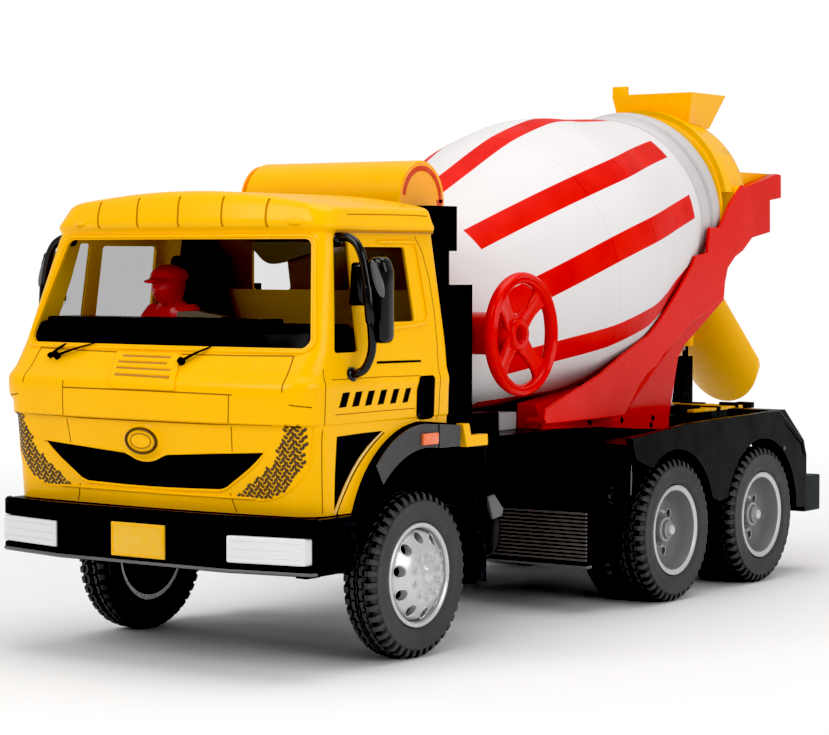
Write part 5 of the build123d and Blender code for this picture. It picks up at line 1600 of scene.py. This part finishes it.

# ------------------------------------------------------------------ rear: arms, black gap sheet of painted shade under the hood, tray, mudguards, chassis
for s in (1, -1):
    sn = "left" if s > 0 else "right"
    arm = [(921, 487), (917, 533), (944, 533.6), (980, 567.6), (1003, 583.6), (1128, 611.6), (1141.4, 610.4), (1142.4, 574), (1104.4, 569.4), (1105.4, 519.6), (1020, 506.4), (972, 482.4), (956, 444), (950, 426), (938, 440)]
    prism("rear_arm_plate_" + sn, arm, "x", s * 113.6, s * 130.6, "red", soft=1.6, segments=3, slot="red_plastic")
for s in (1, -1):
    sn = "left" if s > 0 else "right"
    outer_plate = [(853.9, 524.4), (886.1, 524.7), (918.3, 561.1), (957.9, 590.0), (981.9, 582.4), (963, 532), (947, 497), (938, 482), (913, 464), (904, 442), (901, 420), (848, 398), (800, 384), (752, 356), (716, 340), (698, 325), (672, 315), (650, 300), (624, 274), (606, 256), (400, 256), (393, 264), (397, 276),
                   (436, 288.5), (489, 303), (541.7, 319), (600, 343), (655, 363), (677, 371), (706, 390), (742, 417), (764, 435), (799, 466), (811, 482), (847.8, 487.0)]
    prism("rear_arm_cheek_" + sn, outer_plate, "x", s * 153.6, s * 158.4, "red_smooth", soft=1.4, segments=2, slot="red_plastic")
    prism("rear_arm_web_" + sn, [(936, 478), (946, 560), (957, 587), (981, 579), (1003, 570), (1003, 513), (968, 490)], "x", s * 126.0, s * 154.6, "red", soft=0.8, segments=1, slot="red_plastic")
    prism("rear_arm_rib_" + sn, [(664, 324), (706, 352), (752, 382), (800, 418), (850, 452), (903, 472), (899, 424), (846, 401), (796, 386), (750, 358), (714, 342), (700, 326)], "x", s * 126.0, s * 154.6, "red", soft=0.8, segments=1, slot="red_plastic")
    prism("rear_arm_foot_rib_" + sn, [(666, 322), (690, 324), (674, 316), (651, 301), (625, 275), (606, 257), (402, 257), (402, 263), (600, 263), (620, 282), (645, 307)], "x", s * 124.0, s * 154.6, "red", soft=0.8, segments=1, slot="red_plastic")
    # the hood's side leaves are in the chute yellow with its painted glow
    prism("hood_side_leaf_" + sn, [(939.0, 520), (943.8, 561), (954.6, 588.6), (957.4, 587.6), (946.4, 560), (941.4, 520)], "x", s * 124.0, s * 153.0, "yellow_soft", soft=0.3, segments=1, slot="yellow_plastic")
# black sheet behind the drum's mouth: painted shade of the gap between the mouth ring and the hood; in front of it a
# yellow lip in the chute yellow with its painted glow
arcs = [(math.cos(math.radians(g)), math.sin(math.radians(g))) for g in range(-6, 187, 4)]
for nm, r0, r1, y0, y1, mat in (("hood_lining", 112.0, 141.0, 916.5, 921.0, "ink"), ("hood_front_lip", 137.5, 146.0, 913.2, 917.0, "yellow_soft")):
    loop = [(r1 * c, 550 + r1 * s_) for c, s_ in arcs] + [(r0 * c, 550 + r0 * s_) for c, s_ in arcs[::-1]]
    n = len(loop)
    vv = [(x, y0, z) for x, z in loop] + [(x, y1, z) for x, z in loop]
    k = len(arcs)
    ff = []
    for i in range(k - 1):
        ff += [(i, i + 1, n - 2 - i, n - 1 - i), (n + i + 1, n + i, n + n - 1 - i, n + n - 2 - i)]
    ff += [(i, n + i, n + (i + 1) % n, (i + 1) % n) for i in range(n)]
    mesh_object(nm, vv, ff, mat, "chassis", sharp=40, slot="black_plastic" if mat == "ink" else "yellow_plastic")
# black block behind the pedestal's foot and clips on the tray
box("post_base", -112, 112, 866, 915, 246, 256, "black", soft=2, slot="black_plastic")
for k, (x0, x1, y0, y1, z1) in enumerate([(84, 127, 942, 952, 253), (96, 127, 1002, 1010, 256), (100, 127, 1050, 1062, 254), (-127, -84, 938, 956, 254), (-127, -96, 1000, 1010, 255), (20, 60, 1016, 1028, 253)]):
    box("tray_clip_%d" % k, x0, x1, y0, y1, 245, z1, "black", soft=1.2, slot="black_plastic")
for s in (1, -1):
    sn = "left" if s > 0 else "right"
    # bolts along the pedestal's foot
    for k, (y, z) in enumerate([(559, 249), (647, 247.5), (736, 246), (731, 236)]):
        x = 128.6
        v, f = sweep_mesh([(s * (x - 3), y, z), (s * (x + 1.4), y, z), (s * (x + 2.6), y, z)], [4.6, 4.6, 3.0], 12)
        mesh_object("foot_bolt_%s_%d" % (sn, k), v, f, "ink", sharp=40, slot="black_plastic")
    # edge beads and a stud on the mudguard; the outer bead's lighter grey is a painted highlight along the guard's lit
    # edge
    tube("mudguard_edge_" + sn, [Vector((s * 237.6, 886, 251.0)), Vector((s * 237.6, 924, 251.2)), Vector((s * 237.6, 934, 246)), Vector((s * 237.6, 1006, 203)), Vector((s * 237.6, 1017, 180)), Vector((s * 237.6, 1018.6, 150))], [0.8, 1.5, 1.6, 1.6, 1.5, 0.8], "dark_grey", sides=8, slot="black_plastic")
    tube("mudguard_inner_edge_" + sn, [Vector((s * 237.9, 945, 232)), Vector((s * 237.9, 1002, 197)), Vector((s * 237.9, 1009, 180))], [0.6, 1.1, 0.6], "black", sides=8, slot="black_plastic")
    tube("mudguard_stud_" + sn, [Vector((s * 235.5, 943, 194)), Vector((s * 239.4, 943, 194)), Vector((s * 240.2, 943, 194))], [3.4, 3.0, 1.6], "grey", sides=14, slot="grey_plastic")
    # inner wall of the wheel arches
    prism("bogie_wall_" + sn, [(500, 96), (500, 240), (1012, 240), (1012, 96)], "x", s * 100, s * 108, "ink", soft=0.8, slot="black_plastic")
    tube("mudguard_front_strip_" + sn, [Vector((s * 236.6, 490.4, 199)), Vector((s * 236.8, 489.6, 180)), Vector((s * 236.6, 488.8, 158))], [0.8, 1.4, 0.8], "grey", sides=8, slot="grey_plastic")
    # air tank behind the hanger
    tank = [(0.05, -34), (19, -34), (23.5, -31), (25, -26), (25, 26), (23.5, 31), (19, 34), (0.05, 34)]
    v, f = turned_mesh([(r, t * 0.9) for r, t in tank], lambda r, t, a, s=s: (s * (174 + t), 196 + r * math.cos(a), 132 + r * 1.25 * math.sin(a)), 40)
    mesh_object("air_tank_" + sn, v, f, "ink", sharp=35, slot="grey_plastic")
    # small grey tab over the air tank: a painted highlight
    prism("hanger_tab_" + sn, [(176, 177.8), (191.4, 181), (212.3, 161.1), (208.1, 152.2), (187.4, 149.4)], "x", s * 206, s * 212, "grey", soft=1.5, segments=2, slot="grey_plastic")
# ribs round the under box and the strip below it; the ribs' front faces are a lighter grey than their black ends,
# painted light on the shaded front
for k in range(13):
    z = 71 + 5.2 * k
    box("under_box_rib_%d" % k, -204, 204, 427.0 + 0.5 * (k % 2), 431.0, z, z + 3.7, "box_grey", soft=1.0, slot="grey_plastic")
    box("under_box_end_rib_%d" % k, -206.4, 206.4, 432.0, 497.4, z, z + 3.7, "ink", soft=1.0, slot="black_plastic")
box("under_box_lip", -203, 206, 426.6, 440, 61.6, 65.6, "grey", soft=1.0, slot="grey_plastic")
for s in (1, -1):
    for k, (z0, z1) in enumerate(((99, 119), (123, 141))):
        box("rear_lamp_lens_%s_%d" % ("left" if s > 0 else "right", k), s * 206, s * 231, 1071, 1073.4, z0, z1, "orange" if k else "red", soft=1.0, slot="orange_plastic" if k else "red_plastic")
tube("chute_stay", [Vector((2, 1058, 349)), Vector((0, 1066, 333)), Vector((0, 1070, 322))], 2.2, "steel", sides=10, slot="steel")


# ------------------------------------------------------------------ everything else: the CAD's own shapes, edges softened
NODE_SLOT = {p["node"]: p["material_slot"] for p in frame["record"]["subparts"]}
DONE = {n for o in bpy.data.objects if "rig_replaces" in o for n in o["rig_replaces"]}
for n, o in NODES.items():
    if n not in DONE:
        mat = "lamp_box" if n == "rear_lamp_boxes" else "ink" if n.startswith("rear_mudguard") else SLOT_MATS[NODE_SLOT[n]]
        rework(n, mat, slot=NODE_SLOT[n])
